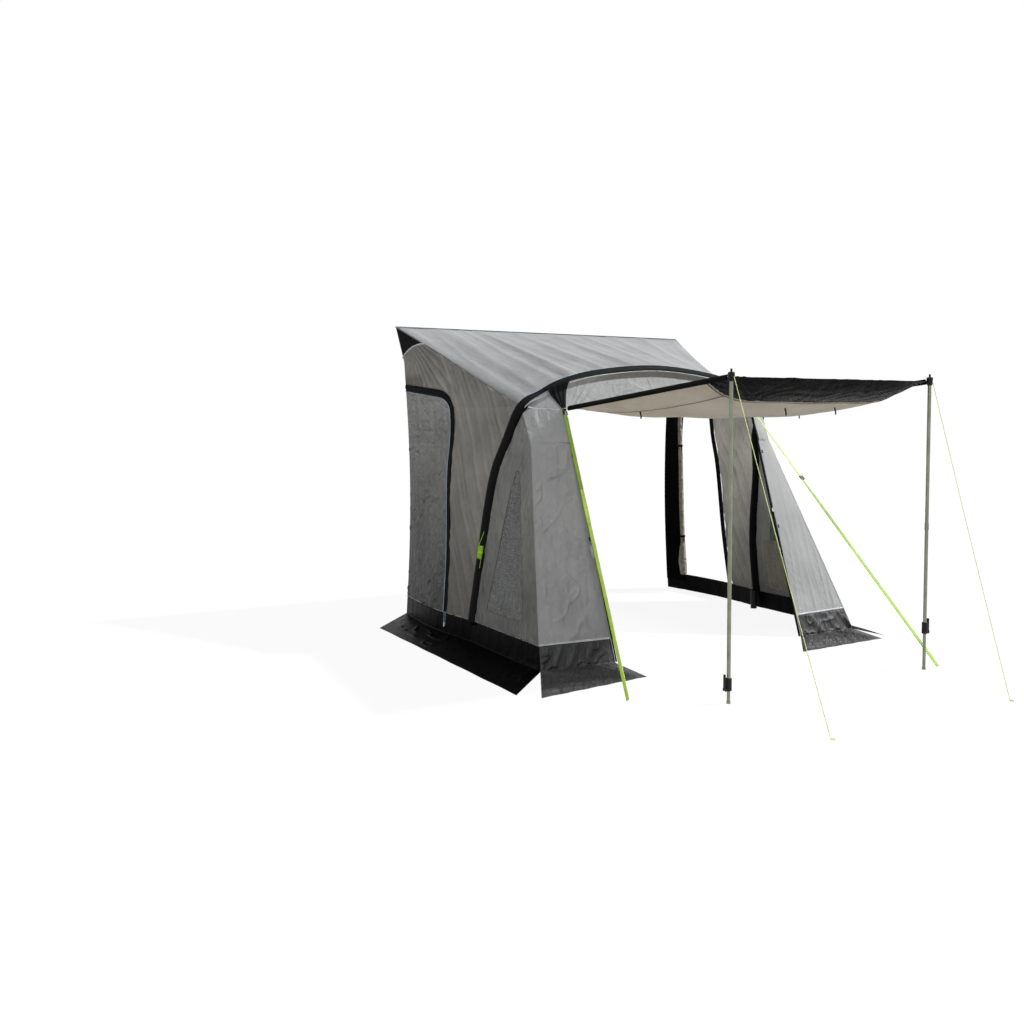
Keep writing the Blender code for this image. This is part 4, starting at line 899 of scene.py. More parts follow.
class Nodes(Tree):
    """A new material with its Principled shader."""

    def __init__(self, name, roughness, metallic=0.0, **values):
        self.look = bpy.data.materials.new(name)
        self.look.use_nodes = True
        super().__init__(self.look.node_tree)
        self.shader = self.tree.nodes["Principled BSDF"]
        for key, value in dict(values, Roughness=roughness, Metallic=metallic).items():
            self.shader.inputs[key.replace("_", " ")].default_value = value

    def show(self, **outputs):
        """Joins outputs to the shader's inputs of these names and gives the material."""
        for key, output in outputs.items():
            self.join(output, self.shader.inputs[key.replace("_", " ")])
        return self.look

    def mix_in(self, share, other):
        """Shows this share of another shader in place of the Principled one."""
        made = self.add("MixShader")
        self.feed(made.inputs[0], share)
        self.join(self.shader.outputs[0], made.inputs[1])
        self.join(other.outputs[0], made.inputs[2])
        output = next(node for node in self.tree.nodes if node.type == "OUTPUT_MATERIAL")
        self.join(made.outputs[0], output.inputs["Surface"])

    def cloth_place(self):
        return self.add("UVMap", uv_map="flat").outputs[0]

    def world_place(self):
        return self.add("TexCoord").outputs["Object"]

    def noise(self, place, scale, detail=2.0, rough=0.5, squeeze=None):
        if squeeze:
            mapping = self.add("Mapping")
            mapping.inputs["Scale"].default_value = squeeze
            self.join(place, mapping.inputs["Vector"])
            place = mapping.outputs[0]
        made = self.add("TexNoise")
        for key, value in (("Scale", scale), ("Detail", detail), ("Roughness", rough)):
            made.inputs[key].default_value = value
        self.join(place, made.inputs["Vector"])
        return made.outputs[0]

    def wave(self, place, pitch, direction):
        made = self.add("TexWave", wave_type="BANDS", bands_direction=direction)
        made.inputs["Scale"].default_value = math.pi / 10 / pitch
        self.join(place, made.inputs["Vector"])
        return made.outputs["Fac"]

    def ramp(self, value, *stops):
        made = self.add("ValToRGB")
        for element, (position, colour) in zip(made.color_ramp.elements, stops):
            element.position = position
            element.color = (*colour, 1.0)
        self.join(value, made.inputs[0])
        return made.outputs[0]

    def times(self, first, second):
        """One colour times another."""
        made = self.add("Mix", data_type="RGBA", blend_type="MULTIPLY")
        for number, value in ((0, 1.0), (6, first), (7, second)):
            self.feed(made.inputs[number], value)
        return made.outputs[2]

    def bump(self, height, distance, under=None):
        made = self.add("Bump")
        made.inputs["Strength"].default_value = 1.0
        made.inputs["Distance"].default_value = distance
        self.join(height, made.inputs["Height"])
        if under:
            self.join(under, made.inputs["Normal"])
        return made.outputs[0]


def weave_look(name, colour, roughness, weave=0.0016, depth=0.0002, mottle=0.10, crinkle=0.0008,
               crinkle_scale=38.0, gloss=0.08, crease=0.0, crease_scale=9.0, stretch=FULL,
               through=0.0, low=1.0, rise=1.0, **values):
    """Woven polyester: threads, mottling, crinkles and creases, darker by low up to the height rise.

    through is how much of its light it takes from, and gives to, its other side.
    """
    made = Nodes(name, roughness, **values)
    flat, world = made.cloth_place(), made.world_place()
    threads = made.math("MULTIPLY", made.wave(flat, weave, "X"), made.wave(flat, weave, "Y"))
    fine = made.noise(world, 46.0, 3.0)
    shades = made.ramp(made.noise(world, 3.2, 3.0), (0.3, tinted(colour, 1 - mottle)),
                       (0.7, tinted(colour, 1 + mottle)))
    worn = made.times(shades, made.ramp(fine, (0.25, grey(0.93)), (0.75, FULL)))
    tone = made.times(worn, made.ramp(threads, (0.0, grey(0.9)), (0.5, FULL)))
    if low < 1:
        parts = made.add("SeparateXYZ")
        made.join(world, parts.inputs[0])
        level = made.math("DIVIDE", parts.outputs[2], RAIL_HEIGHT)
        tone = made.times(tone, made.ramp(level, (MUD_HEIGHT / RAIL_HEIGHT, grey(low)),
                                          (rise / RAIL_HEIGHT, FULL)))
    small = made.bump(made.noise(flat, crinkle_scale, 4.0, 0.6), crinkle)
    if crease:
        for number, scale in enumerate((crease_scale, 2.3 * crease_scale)):
            wander = made.math("SUBTRACT", made.noise(flat, scale, 2.0, 0.45, stretch), 0.5)
            ridge = made.math("MINIMUM", made.math("ABSOLUTE", wander), 0.16)
            small = made.bump(ridge, crease / (1 + number), small)
    if through:
        back = made.add("BsdfTranslucent")
        made.join(tone, back.inputs["Color"])
        made.join(small, back.inputs["Normal"])
        made.mix_in(through, back)
    return made.show(Base_Color=tone, Roughness=made.span(fine, roughness - gloss, roughness + gloss),
                     Normal=made.bump(threads, depth, small))


def webbing_look(name, colour, roughness, rib=0.0022, depth=0.0006, **values):
    """Woven band: ribs across it and a herringbone of threads along it."""
    made = Nodes(name, roughness, **values)
    flat = made.cloth_place()
    ribs = made.wave(flat, rib, "Y")
    stain = made.noise(made.world_place(), 22.0, 3.0)
    shade = made.ramp(stain, (0.3, tinted(colour, 0.82)), (0.7, tinted(colour, 1.1)))
    tone = made.times(shade, made.ramp(ribs, (0.0, grey(0.78)), (0.6, FULL)))
    height = made.math("ADD", ribs, made.wave(flat, rib, "DIAGONAL"))
    return made.show(Base_Color=tone, Normal=made.bump(height, depth))


def plastic_look(name, colour, roughness=0.42, **values):
    """Moulded plastic: fine spark grain and scuffs."""
    made = Nodes(name, roughness, **values)
    world = made.world_place()
    scuff = made.noise(world, 60.0, 6.0, 0.7)
    return made.show(Base_Color=made.ramp(scuff, (0.45, colour), (0.75, tinted(colour, 2.2))),
                     Roughness=made.span(scuff, roughness - 0.08, roughness + 0.15),
                     Normal=made.bump(made.noise(world, 900.0, 2.0), 0.00015))


def metal_look(name, colour, roughness, squeeze=(40.0, 40.0, 1.0), metallic=1.0):
    """Drawn or cast metal: streaks along its length and dull patches."""
    made = Nodes(name, roughness, metallic)
    world = made.world_place()
    streak = made.noise(world, 8.0, 4.0, 0.6, squeeze)
    patch = made.noise(world, 14.0, 5.0, 0.65)
    base = made.ramp(patch, (0.3, tinted(colour, 0.8)), (0.7, tinted(colour, 1.15)))
    return made.show(Base_Color=made.times(base, made.ramp(streak, (0.3, grey(0.86)), (0.7, FULL))),
                     Roughness=made.span(streak, roughness - 0.08, roughness + 0.1),
                     Normal=made.bump(streak, 0.0002))


def cord_look(name, colour, sheath=0.0035):
    """A braided cord: two sets of strands crossing at a slant."""
    made = Nodes(name, 0.6)
    world = made.world_place()
    strands = made.math("MAXIMUM", made.wave(world, sheath, "DIAGONAL"), made.wave(world, sheath, "Z"))
    fleck = made.noise(world, 300.0, 2.0)
    return made.show(Base_Color=made.ramp(fleck, (0.3, tinted(colour, 0.85)), (0.7, tinted(colour, 1.08))),
                     Normal=made.bump(strands, 0.0004))


def mesh_look(name, colour, pitch=0.0032):
    """Open window mesh: dark threads with light showing between them."""
    made = Nodes(name, 0.6)
    flat, world = made.cloth_place(), made.world_place()
    threads = made.math("MAXIMUM", made.wave(flat, pitch, "X"), made.wave(flat, pitch, "Y"))
    speck = made.noise(world, 130.0, 2.0, 0.5)
    shade = made.ramp(speck, (0.44, tinted(colour, 0.20)), (0.58, tinted(colour, 3.0)))
    tone = made.ramp(made.noise(world, 9.0, 3.0), (0.3, grey(0.8)), (0.7, grey(1.15)))
    return made.show(Base_Color=made.times(shade, tone), Alpha=made.span(threads, 0.60, 0.95),
                     Normal=made.bump(threads, 0.0003))


ROOF_COLOUR = (0.322, 0.330, 0.336)
SIDE_COLOUR = (0.500, 0.490, 0.462)
DOOR_COLOUR = (0.370, 0.368, 0.362)
FRONT_COLOUR = (0.430, 0.438, 0.436)
CANOPY_COLOUR = (0.620, 0.582, 0.515)
MUD_SIDE_COLOUR = (0.0003, 0.0003, 0.0004)
MUD_FRONT_COLOUR = (0.040, 0.040, 0.042)
HEADER_COLOUR = (0.285, 0.290, 0.294)
FORE_COLOUR = (0.400, 0.402, 0.388)
BLACK = (0.006, 0.006, 0.006)
DULL = {"Specular_IOR_Level": 0.04}

ROOF = weave_look("roof_weave", ROOF_COLOUR, 0.62, crinkle=0.0012, crease=0.008, crease_scale=7.0,
                  stretch=(1.0, 0.5, 1.0), through=0.18)
SIDE = weave_look("side_weave", SIDE_COLOUR, 0.68, crinkle=0.0012, crease=0.050, crease_scale=6.0,
                  stretch=(1.0, 0.45, 1.0), through=0.66, low=0.62)
FORE = weave_look("fore_weave", FORE_COLOUR, 0.68, crinkle=0.0016, crease=0.060, crease_scale=7.0,
                  stretch=(1.0, 0.45, 1.0), through=0.50, low=0.75)
DOOR = weave_look("door_weave", DOOR_COLOUR, 0.60, mottle=0.16, crinkle=0.0020, crease=0.070,
                  crease_scale=8.0, stretch=(1.0, 0.8, 1.0), through=0.24, low=0.16, rise=1.7)
FRONT_LEFT = weave_look("front_left_weave", FRONT_COLOUR, 0.64, crinkle=0.0012, crease=0.030,
                        crease_scale=7.0, stretch=(1.0, 0.7, 1.0), through=0.22)
FRONT_RIGHT = weave_look("front_right_weave", FRONT_COLOUR, 0.64, crinkle=0.0008, crease=0.009,
                         crease_scale=6.0, stretch=(1.0, 0.5, 1.0), through=0.22)
HEADER = weave_look("header_weave", HEADER_COLOUR, 0.62, crinkle=0.0012, crease=0.010, through=0.18)
CANOPY = weave_look("canopy_weave", CANOPY_COLOUR, 0.66, mottle=0.07, crease=0.010, through=0.45)
MUD_SIDE = weave_look("mud_side_coated", MUD_SIDE_COLOUR, 0.36, mottle=0.3, crinkle=0.0016,
                      crinkle_scale=22.0, gloss=0.1, Specular_IOR_Level=0.02)
MUD_FRONT = weave_look("mud_front_coated", MUD_FRONT_COLOUR, 0.50, mottle=0.16, crinkle=0.002,
                       crease=0.040, crease_scale=9.0, stretch=(1.0, 0.4, 1.0), Specular_IOR_Level=0.22)
BAND = weave_look("band_coated", (0.0004, 0.0006, 0.0003), 0.26, mottle=0.3, crinkle=0.001,
                  crinkle_scale=12.0, crease=0.012, stretch=(0.4, 1.0, 1.0), Specular_IOR_Level=0.03)
STRIP = weave_look("strip_coated", (0.0010, 0.0010, 0.0010), 0.60, mottle=0.3, crinkle=0.0010,
                   Specular_IOR_Level=0.01)
SLEEVE = weave_look("sleeve_weave", (0.010, 0.010, 0.011), 0.60, mottle=0.15, crinkle=0.0006, **DULL)
GUSSET = weave_look("gusset_weave", (0.006, 0.006, 0.007), 0.60, mottle=0.2, crinkle=0.0006, **DULL)
WINDOW = mesh_look("window_net", (0.062, 0.065, 0.063))
BLIND = weave_look("blind_weave", (0.80, 0.77, 0.70), 0.72, crease=0.060, through=0.60)
BLACK_TAPE = webbing_look("black_tape", (0.003, 0.003, 0.003), 0.6, **DULL)
GREEN_TAPE = webbing_look("green_tape", (0.30, 0.50, 0.030), 0.55, rib=0.0045)
# The same green webbing in a paler copy: painted light on the strap parts that the lamps leave in shade
GREEN_TAPE_PAINTED_LIGHT = webbing_look("green_tape_painted_light", (0.62, 0.88, 0.10), 0.55, rib=0.0045)
PIPING_LILAC = webbing_look("piping_lilac", (0.36, 0.35, 0.47), 0.5)
PIPING_BLUE = webbing_look("piping_blue", (0.42, 0.55, 0.68), 0.5)
PIPING_PALE = webbing_look("piping_pale", (0.70, 0.71, 0.74), 0.5)
SEAM_GREY = webbing_look("seam_grey", (0.17, 0.17, 0.17), 0.7)
SEAM_BROWN = webbing_look("seam_brown", (0.165, 0.125, 0.085), 0.7)
BLACK_PLASTIC = plastic_look("black_moulding", BLACK, Specular_IOR_Level=0.2)
ZIP_METAL = metal_look("zip_casting", (0.62, 0.64, 0.67), 0.32)
POLE_STEEL = metal_look("pole_steel", (0.255, 0.275, 0.205), 0.38, metallic=0.75)
GUY_CORD = cord_look("guy_braid", (0.72, 0.86, 0.30))
HANK_CORD = cord_look("hank_braid", (0.45, 0.84, 0.03))
BLADDER = plastic_look("bladder_film", (0.78, 0.78, 0.76), 0.35)

# Cords and piping by kind: radius, look and slot
TUBES = {
    "guy_cord": (GUY_RADIUS, GUY_CORD, "guy_cord"),
    "guy_loop": (GUY_RADIUS, GUY_CORD, "guy_cord"),
    "hank_cord": (HANK_CORD_RADIUS, HANK_CORD, "guy_cord"),
    "hank_wrap": (HANK_CORD_RADIUS, HANK_CORD, "guy_cord"),
    "door_piping": (0.0026, PIPING_BLUE, "side_cloth"),
    "door_tail_piping": (0.0018, PIPING_BLUE, "side_cloth"),
    "window_stitching": (0.0016, SEAM_GREY, "side_cloth"),
    "mud_piping_side": (0.0030, PIPING_LILAC, "side_cloth"),
    "doorway_piping": (0.0032, PIPING_LILAC, "front_cloth"),
    "sleeve_piping_front": (0.0024, PIPING_PALE, "front_cloth"),
    "sleeve_piping_top": (0.0024, PIPING_BLUE, "front_cloth"),
    "corner_ring": (0.0030, GREEN_TAPE, "strap_green"),
}

# Flat bands by kind: width, thickness, crown, look and slot
BANDS = {
    "eave_seam": (0.011, 0.0012, 0.0, SEAM_GREY, "roof_cloth"),
    "rail_hem": (0.022, 0.0014, 0.0, SEAM_GREY, "roof_cloth"),
    "canopy_binding": (0.034, 0.0040, 0.004, BLACK_TAPE, "webbing_black"),
    "canopy_side_seam": (0.012, 0.0012, 0.0, SEAM_BROWN, "front_cloth"),
    "canopy_front_seam": (0.014, 0.0012, 0.0, SEAM_BROWN, "front_cloth"),
    "canopy_front_hem": (0.020, 0.0025, 0.001, BLACK_TAPE, "webbing_black"),
    "canopy_tie": (0.011, 0.0016, 0.0, BLACK_TAPE, "webbing_black"),
    "gusset_piping": (0.016, 0.004, 0.003, PIPING_PALE, "side_cloth"),
    "door_zip_tail": (0.026, 0.0016, 0.0005, BLACK_TAPE, "webbing_black"),
    "mud_hem_front": (0.013, 0.0022, 0.001, PIPING_PALE, "front_cloth"),
    "ridge_seam": (0.006, 0.0012, 0.0006, FRONT_LEFT, "front_cloth"),
    "doorway_tag": (0.026, 0.0012, 0.0, PIPING_PALE, "front_cloth"),
    "roll_band": (TIE_WIDTH, 0.0016, 0.0, BLACK_TAPE, "webbing_black"),
    "roll_band_end": (0.012, 0.0014, 0.0, BLACK_TAPE, "webbing_black"),
}


# Cords, straps and the hank, along the frame's own routes

GUSSET_LIFT = 3 * GAP + TRIM


def hinge_corner(side):
    return place(side * HINGE_HALF, HINGE_OUT, HINGE_HEIGHT)


def strap_end(word, side):
    half, out = STRAP_ENDS[word]
    return place(side * half, out, STRAP_END_HEIGHT)


def header_normal(share, drop):
    return unit(np.cross(*slopes(on_header, share, drop)))


def corner_line(word, side):
    """Where a strap's gusset ends, and the strap's direction, its width's and its face's."""
    line = unit(strap_end(word, side) - hinge_corner(side))
    sideways = unit(SIDEWARD - line * line[0])
    face = np.cross(sideways, line)
    if face[1] > 0:
        face = -face
    share = side * HINGE_HALF / SHOULDER_HALF
    return on_header(share, 1.0) - header_normal(share, 1.0) * GUSSET_LIFT, line, sideways, face


def build_guy(word, side):
    half, out = GUY_ENDS[word]
    start = place(side * POLE_HALF, POLE_OUT + HEAD_RADIUS + GUY_RADIUS + GAP, POLE_HEIGHT)
    end = place(side * half, out, GUY_END_HEIGHT)
    shares = np.linspace(0, 1, GUY_POINTS)
    points = between(start, end, shares)
    points[:, 2] -= GUY_SAG * 4 * shares * (1 - shares)
    line = tube("guy_cord", word, points)
    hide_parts("guy_line_" + word)
    away = unit(unit(end - start) * np.array([1, 1, 0]))
    turn = np.linspace(0, 2 * np.pi, GUY_EYE_POINTS)[:-1, None]
    length, width = GUY_EYE_SHARES
    loop = (end + away * GUY_EYE * (1 - np.cos(turn)) * length
            + np.cross(away, UPWARD) * GUY_EYE * width * np.sin(turn))
    loop[:, 2] = GUY_RADIUS * GUY_EYE_HEIGHT_SHARE
    knot = tube("guy_loop", word, loop, closed=True)


def build_strap(word, side, looks):
    """A storm strap: its width turns about its line, as a webbing strap does under tension."""
    root, line, _, face = corner_line(word, side)
    start = root - face * TRIM / 2 + line * (TAB_LENGTH + 2 * GAP + BUCKLE_LENGTH)
    end = strap_end(word, side)
    path = resampled(np.array([start, end]), STRAP_STEP)
    shares = np.linspace(0, 1, len(path))
    sideways = unit(np.cross(face, line))
    keys, turns = np.array(STRAP_TURNS[word]).T
    twist = np.interp(shares, keys, np.radians(turns))
    across = sideways * np.cos(twist)[:, None] + face * np.sin(twist)[:, None]
    outward = face * np.cos(twist)[:, None] - sideways * np.sin(twist)[:, None]
    half, thick = STRAP_WIDTH / 2, STRAP_THICKNESS / 2
    section = np.array([(-half, -thick), (0, -thick), (half, -thick), (half, thick), (0, thick),
                        (-half, thick)])
    points, faces, flat = carried(path, section, across, outward)
    count = len(section)
    # Past this share the strap takes its second look; the paler green among its two looks is painted light
    which = (np.repeat(shares[:-1], count) > STRAP_PAINTED_LIGHT_SHARE).astype(int)
    caps = np.array([[0, 1, 4, 5], [1, 2, 3, 4]])
    last = caps[:, ::-1] + (len(path) - 1) * count
    strap = mesh_piece("strap_" + word, points, np.vstack([faces, caps, last]), looks, flat,
                       np.concatenate([which, [0, 0, 1, 1]]))
    bevel = strap.modifiers.new("edges", "BEVEL")
    bevel.width = STRAP_THICKNESS / 4
    bevel.segments = 2
    bevel.limit_method = "ANGLE"
    settle(strap, "strap_green", "storm_strap_" + word)


HANK_MIDDLE = SLEEVE_RADIUS + HANK_CLEARANCE + HANK_CORD_RADIUS + HANK_BEND


def hank_axes():
    """The hank's place on the left leg, and its directions: up the leg, outward and across."""
    centre = mirrored(on_leg(HANK_HEIGHT), SIDES["left"])
    rise = unit(mirrored(on_leg(HANK_HEIGHT + HANK_LEAD), SIDES["left"]) - centre)
    forward = np.array(FRONTWARD, float)
    level = unit(np.cross(rise, forward))
    if level[0] > 0:
        level = -level
    outward = level * math.cos(HANK_TURN) + forward * math.sin(HANK_TURN)
    across = forward * math.cos(HANK_TURN) - level * math.sin(HANK_TURN)
    return centre, np.array([rise, outward, across])


def hank_route():
    """Spare guy line along the hank's directions: its lead from the sleeve, its loops, its tail."""
    first = -HANK_PITCH * HANK_TURNS / 2
    route = []
    for step in range(HANK_LEAD_STEPS):
        share = step / HANK_LEAD_STEPS
        eased = ease(share)
        depth = mix(SLEEVE_RADIUS - HANK_SINK + HANK_CORD_RADIUS, HANK_MIDDLE + HANK_BEND, eased)
        route.append((mix(HANK_LEAD, HANK_HALF_RUN, share), depth, first * eased))
    bend = [math.pi * step / HANK_BEND_STEPS for step in range(HANK_BEND_STEPS + 1)]
    loop = [(HANK_HALF_RUN, HANK_BEND), (0, HANK_BEND)]
    loop += [(-HANK_HALF_RUN - HANK_BEND * math.sin(angle), HANK_BEND * math.cos(angle)) for angle in bend]
    loop += [(0, -HANK_BEND)]
    loop += [(HANK_HALF_RUN + HANK_BEND * math.sin(angle), -HANK_BEND * math.cos(angle))
             for angle in bend[:-1]]
    for turn in range(HANK_TURNS):
        for number, (run, depth) in enumerate(loop):
            route.append((run, HANK_MIDDLE + depth, first + HANK_PITCH * (turn + number / len(loop))))
    for share in (0.0, 0.5, 1.0):
        run = mix(HANK_HALF_RUN, -HANK_HALF_RUN - HANK_TAIL, share)
        route.append((run, HANK_MIDDLE + HANK_BEND, -first))
    return np.array(route)


def build_hank():
    centre, axes = hank_axes()
    points = centre + hank_route() @ axes
    hank = tube("hank_cord", "", points, sides=12)
    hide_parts("guy_hank")
    pitch = WRAP_PITCH_SHARE * HANK_CORD_RADIUS
    half_depth = HANK_BEND + pitch
    half_width = HANK_PITCH * HANK_TURNS / 2 + pitch
    turn = np.arange(WRAP_TURNS * WRAP_STEPS + 1) / WRAP_STEPS
    angle = 2 * math.pi * turn
    rounds = np.stack([pitch * (turn - WRAP_TURNS / 2), HANK_MIDDLE + half_depth * np.cos(angle),
                       half_width * np.sin(angle)], axis=1)
    wrap = tube("hank_wrap", "", centre + rounds @ axes)


for side_word, side_sign in SIDES.items():
    build_guy(side_word, side_sign)
# Painted light: the paler green lights the left strap's lower part and the right strap's upper part
build_strap("left", SIDES["left"], (GREEN_TAPE, GREEN_TAPE_PAINTED_LIGHT))
build_strap("right", SIDES["right"], (GREEN_TAPE_PAINTED_LIGHT, GREEN_TAPE))
build_hank()


# Roof, header and canopy

CANOPY_SPAN = POLE_OUT - HINGE_OUT
CANOPY_SEAM = 1 - CANOPY_BAND / CANOPY_SPAN
CANOPY_HEM_SHARES = (0.985, 0.997)
SEAM_SETBACK_SHARE = 0.006
HEM_INSET = 0.010
HEM_OUT = 0.020
HEM_OUT_SHARE = 0.012
HEADER_START_SHARE = 0.42
HEADER_CLEARANCE = 0.0055
HEADER_ROWS_SHARE = 0.2


def roof_relief(s, t, u, v):
    """Long folds that run straight out from the rail, over finer ones."""
    half = mix(RAIL_HALF, SHOULDER_HALF, v) * (2 * u - 1)
    across = (RAIL_HALF + SHOULDER_HALF) / 2 * (2 * u - 1) + 0.06 * t
    left = ease((0.2 - half) / 0.9)
    height = folds("roof_long", across + 0.06, t) * mix(0.6, 1.2, left)
    height += folds("roof_short", across, t) * mix(0.4, 1.15, left)
    height += folds("roof_fine", across, t) + crumples("roof", s, t / 2.5)
    height += folds("roof_beam", t - 0.25 * np.abs(half), half) * away_from(v, 0.72, 0.2)
    return height * away_from(v, 0, 0.05) * away_from(1 - v, 0.012, 0.06) * within(u, 0.03)


def off_sleeve(distance):
    """How far a cloth stands out at a distance below the arch, as it passes over the sleeve."""
    radius = SLEEVE_RADIUS + HEADER_CLEARANCE
    hug = np.sqrt(np.maximum(0.0, radius ** 2 - distance ** 2))
    return np.where(distance < radius / math.sqrt(2), hug,
                    np.maximum(0.0, math.sqrt(2) * radius - distance))


def header_drop(v):
    """Share of the header's depth at v: rows lie closer together beside the sleeve."""
    return v * mix(HEADER_ROWS_SHARE, 1, v)


def from_beam(points):
    """How far each point is from the beam's line."""
    line = resampled(BEAM_PATH, 0.004)
    tree = KDTree(len(line))
    for index, point in enumerate(line):
        tree.insert(point, index)
    tree.balance()
    flat = np.reshape(points, (-1, 3))
    return np.reshape([tree.find(point)[2] for point in flat], np.shape(points)[:-1])


def header_relief(s, t, u, v):
    """Tension creases that fan out from the two corner buckles."""
    reach = s.max() / 2
    tip = HINGE_HALF / SHOULDER_HALF * reach
    height = 0
    for corner in (reach - tip, reach + tip):
        angle = np.arctan2(t.max() - t + 0.02, np.abs(s - corner) + 0.02)
        distance = np.hypot(t.max() - t, s - corner)
        height = height + folds("header_fan", angle, distance) * np.exp(-((distance - 0.22) / 0.2) ** 2)
    height = height + crumples("header", s, t) + folds("header_fine", s + 0.5 * t, t)
    share = np.abs(2 * u - 1) * HEADER_REACH_SHARE
    drop = np.clip(header_drop(v), 0, 1)
    under = mix(PATCH_INNER_SHARE, tip / reach - TAB_WIDTH / SHOULDER_HALF, drop ** PATCH_CURVE)
    height = height * ease((under - 0.01 - share) / 0.05)
    height = height * away_from(drop, 0.02, 0.15) * away_from(1 - drop, 0, 0.08)
    distance = from_beam(on_header(mix(-HEADER_REACH_SHARE, HEADER_REACH_SHARE, u), drop))
    start = ease((distance / SLEEVE_RADIUS - HEADER_START_SHARE) / 0.20)
    return height * start + off_sleeve(distance) - (1 - start) * 1.6 * HEADER_CLEARANCE


def canopy_relief(s, t, u, v):
    """Small puckers over the canopy, gathered towards its front corners."""
    height = crumples("canopy_broad", s, t) + crumples("canopy_fine", s, t)
    front = away_from(v, CANOPY_SEAM, 1 - CANOPY_SEAM) * away_from(1 - v, 0, 0.10)
    sway = 0.09 * np.sin(2.2 * np.pi * u + 0.6) + 0.05 * np.sin(5.1 * np.pi * u)
    height += (folds("canopy_front", t + sway, s) + crumples("canopy_front", s / 2.5, t)) * front
    for corner in (0.0, 1.0):
        reach = np.hypot((u - corner) * 2 * POLE_HALF, (1 - v) * CANOPY_SPAN)
        angle = np.arctan2(1 - v + 0.01, np.abs(u - corner) + 0.01)
        height += folds("canopy_corner", angle, reach) * np.exp(-(reach / 0.35) ** 2)
    return height * away_from(v, 0, 0.03)


def build_roof():
    cloth("roof_cloth", lambda u, v: on_roof(2 * u - 1, v), grid(*GRIDS["roof"]), UPWARD, ROOF,
          "roof_cloth", roof_relief, replaces=["roof_panel"])
    shares = np.linspace(0, 1, 120)
    for word, side in SIDES.items():
        eave = mirrored(on_aft(shares, eave_height(shares)), side)
        ribbon("eave_seam", word, eave, (side * 0.8, 0, 0.6))
    span = np.linspace(-1, 1, 60)
    rail = place(span * (RAIL_HALF - HEM_INSET), HEM_OUT, RAIL_HEIGHT)
    rail[:, 2] = on_roof(span, HEM_OUT_SHARE)[:, 2]
    ribbon("rail_hem", "", rail, UPWARD)


def build_header():
    def patch(u, v):
        return on_header(mix(-HEADER_REACH_SHARE, HEADER_REACH_SHARE, u), header_drop(v))
    cloth("header_cloth", patch, grid(*GRIDS["header"]), FRONTWARD, HEADER, "front_cloth", header_relief,
          replaces=["header_panel"])


def build_canopy():
    patch = spanned(on_canopy, -1, 1, 0.0, 1.0)
    columns, rows = GRIDS["canopy"]
    u, v, faces = grid(columns, rows)
    which = np.repeat((np.arange(rows) + 0.5) / rows > CANOPY_SEAM, columns).astype(int)
    cloth("canopy_cloth", patch, (u, v, faces), UPWARD, (CANOPY, BAND), "front_cloth",
          canopy_relief, replaces=["canopy_sheet", "canopy_band"], which=which)
    shares = np.linspace(0, 1, 110)
    low = np.array([0, 0, -CANOPY_SEAM_DROP])
    downward = (0, 0, -1)
    for word, side in SIDES.items():
        edge = on_canopy(side * 1.0, shares)
        ribbon("canopy_binding", word, edge[2:-2], (side, 0, 0.25))
        inner = 1 - CANOPY_BORDER / POLE_HALF
        seam = on_canopy(side * inner, np.linspace(0.01, CANOPY_SEAM, 90)) + low
        ribbon("canopy_side_seam", word, seam, downward)
    front = on_canopy(np.linspace(-1, 1, 120), CANOPY_SEAM - SEAM_SETBACK_SHARE) + low
    ribbon("canopy_front_seam", "", front, downward)
    reach, out_share = CANOPY_HEM_SHARES
    hem = on_canopy(np.linspace(-reach, reach, 120), out_share)
    ribbon("canopy_front_hem", "", hem, UPWARD)


build_roof()
build_header()
build_canopy()


# Side walls

BAND_BULGE = 0.0055
BAND_FLAT_SHARE = 0.35
BAND_FLAT_MARGIN = 0.050
BAND_FLAT_LENGTH = DOOR_SLIDER_HEIGHT + DOOR_SLIDER_RUN + BAND_FLAT_MARGIN - MUD_HEIGHT
DOOR_PIPING_INSET = 0.002
DOOR_PIPING_LIFT = 0.0016
DOOR_TEETH_INSET = 0.006
TEETH_LIFT = 0.0006
ZIP_TAIL_DROP = 0.012
ZIP_TAIL_HALF = 0.011
ZIP_TAIL_LIFT = 0.0022
STRIP_INSET = 0.0004
NET_OVERLAP = 0.004
NET_INSET = 0.0022
STITCH_LIFT = 0.0001
MUD_PIPING_RISE = 0.001
MUD_PIPING_LIFT = 0.0012


def wall_relief(out, height, u, v):
    """Slanted tension folds towards the beam, and gathers that hang from the rail's corner."""
    slant = 0.88 * out + 0.47 * height
    run = 0.88 * height - 0.47 * out
    reach = (folds("wall_tension", slant, run) + folds("wall_fine", slant, run)) * away_from(out, 0.25, 0.3)
    reach += crumples("wall", out, height / 2)
    from_rail = np.arctan2(out + 0.02, RAIL_HEIGHT + 0.05 - height)
    hung = folds("wall_hung", from_rail * 0.6, height)
    reach += hung * away_from(height, 1.35, 0.5) * ease((0.95 - out) / 0.45)
    return reach * away_from(leg_out(height) - out, 0, 0.06) * away_from(out, 0, 0.02)


def door_relief(out, height, u, v):
    """Folds that hang from the door's head, and a crumpled lower half."""
    upper = away_from(height, 0.75, 0.5)
    reach = folds("door_hung", out + 0.16 * (height - 1.7), height) * mix(0.35, 1.0, upper)
    reach += crumples("door_broad", out, height) * (1 - 0.75 * upper)
    reach += crumples("door_fine", out, height) * (1 - 0.8 * upper)
    zipped = door_front(height) - ZIP_BAND - out
    return reach * away_from(out, 0, 0.02) * away_from(zipped, 0.004, 0.08)


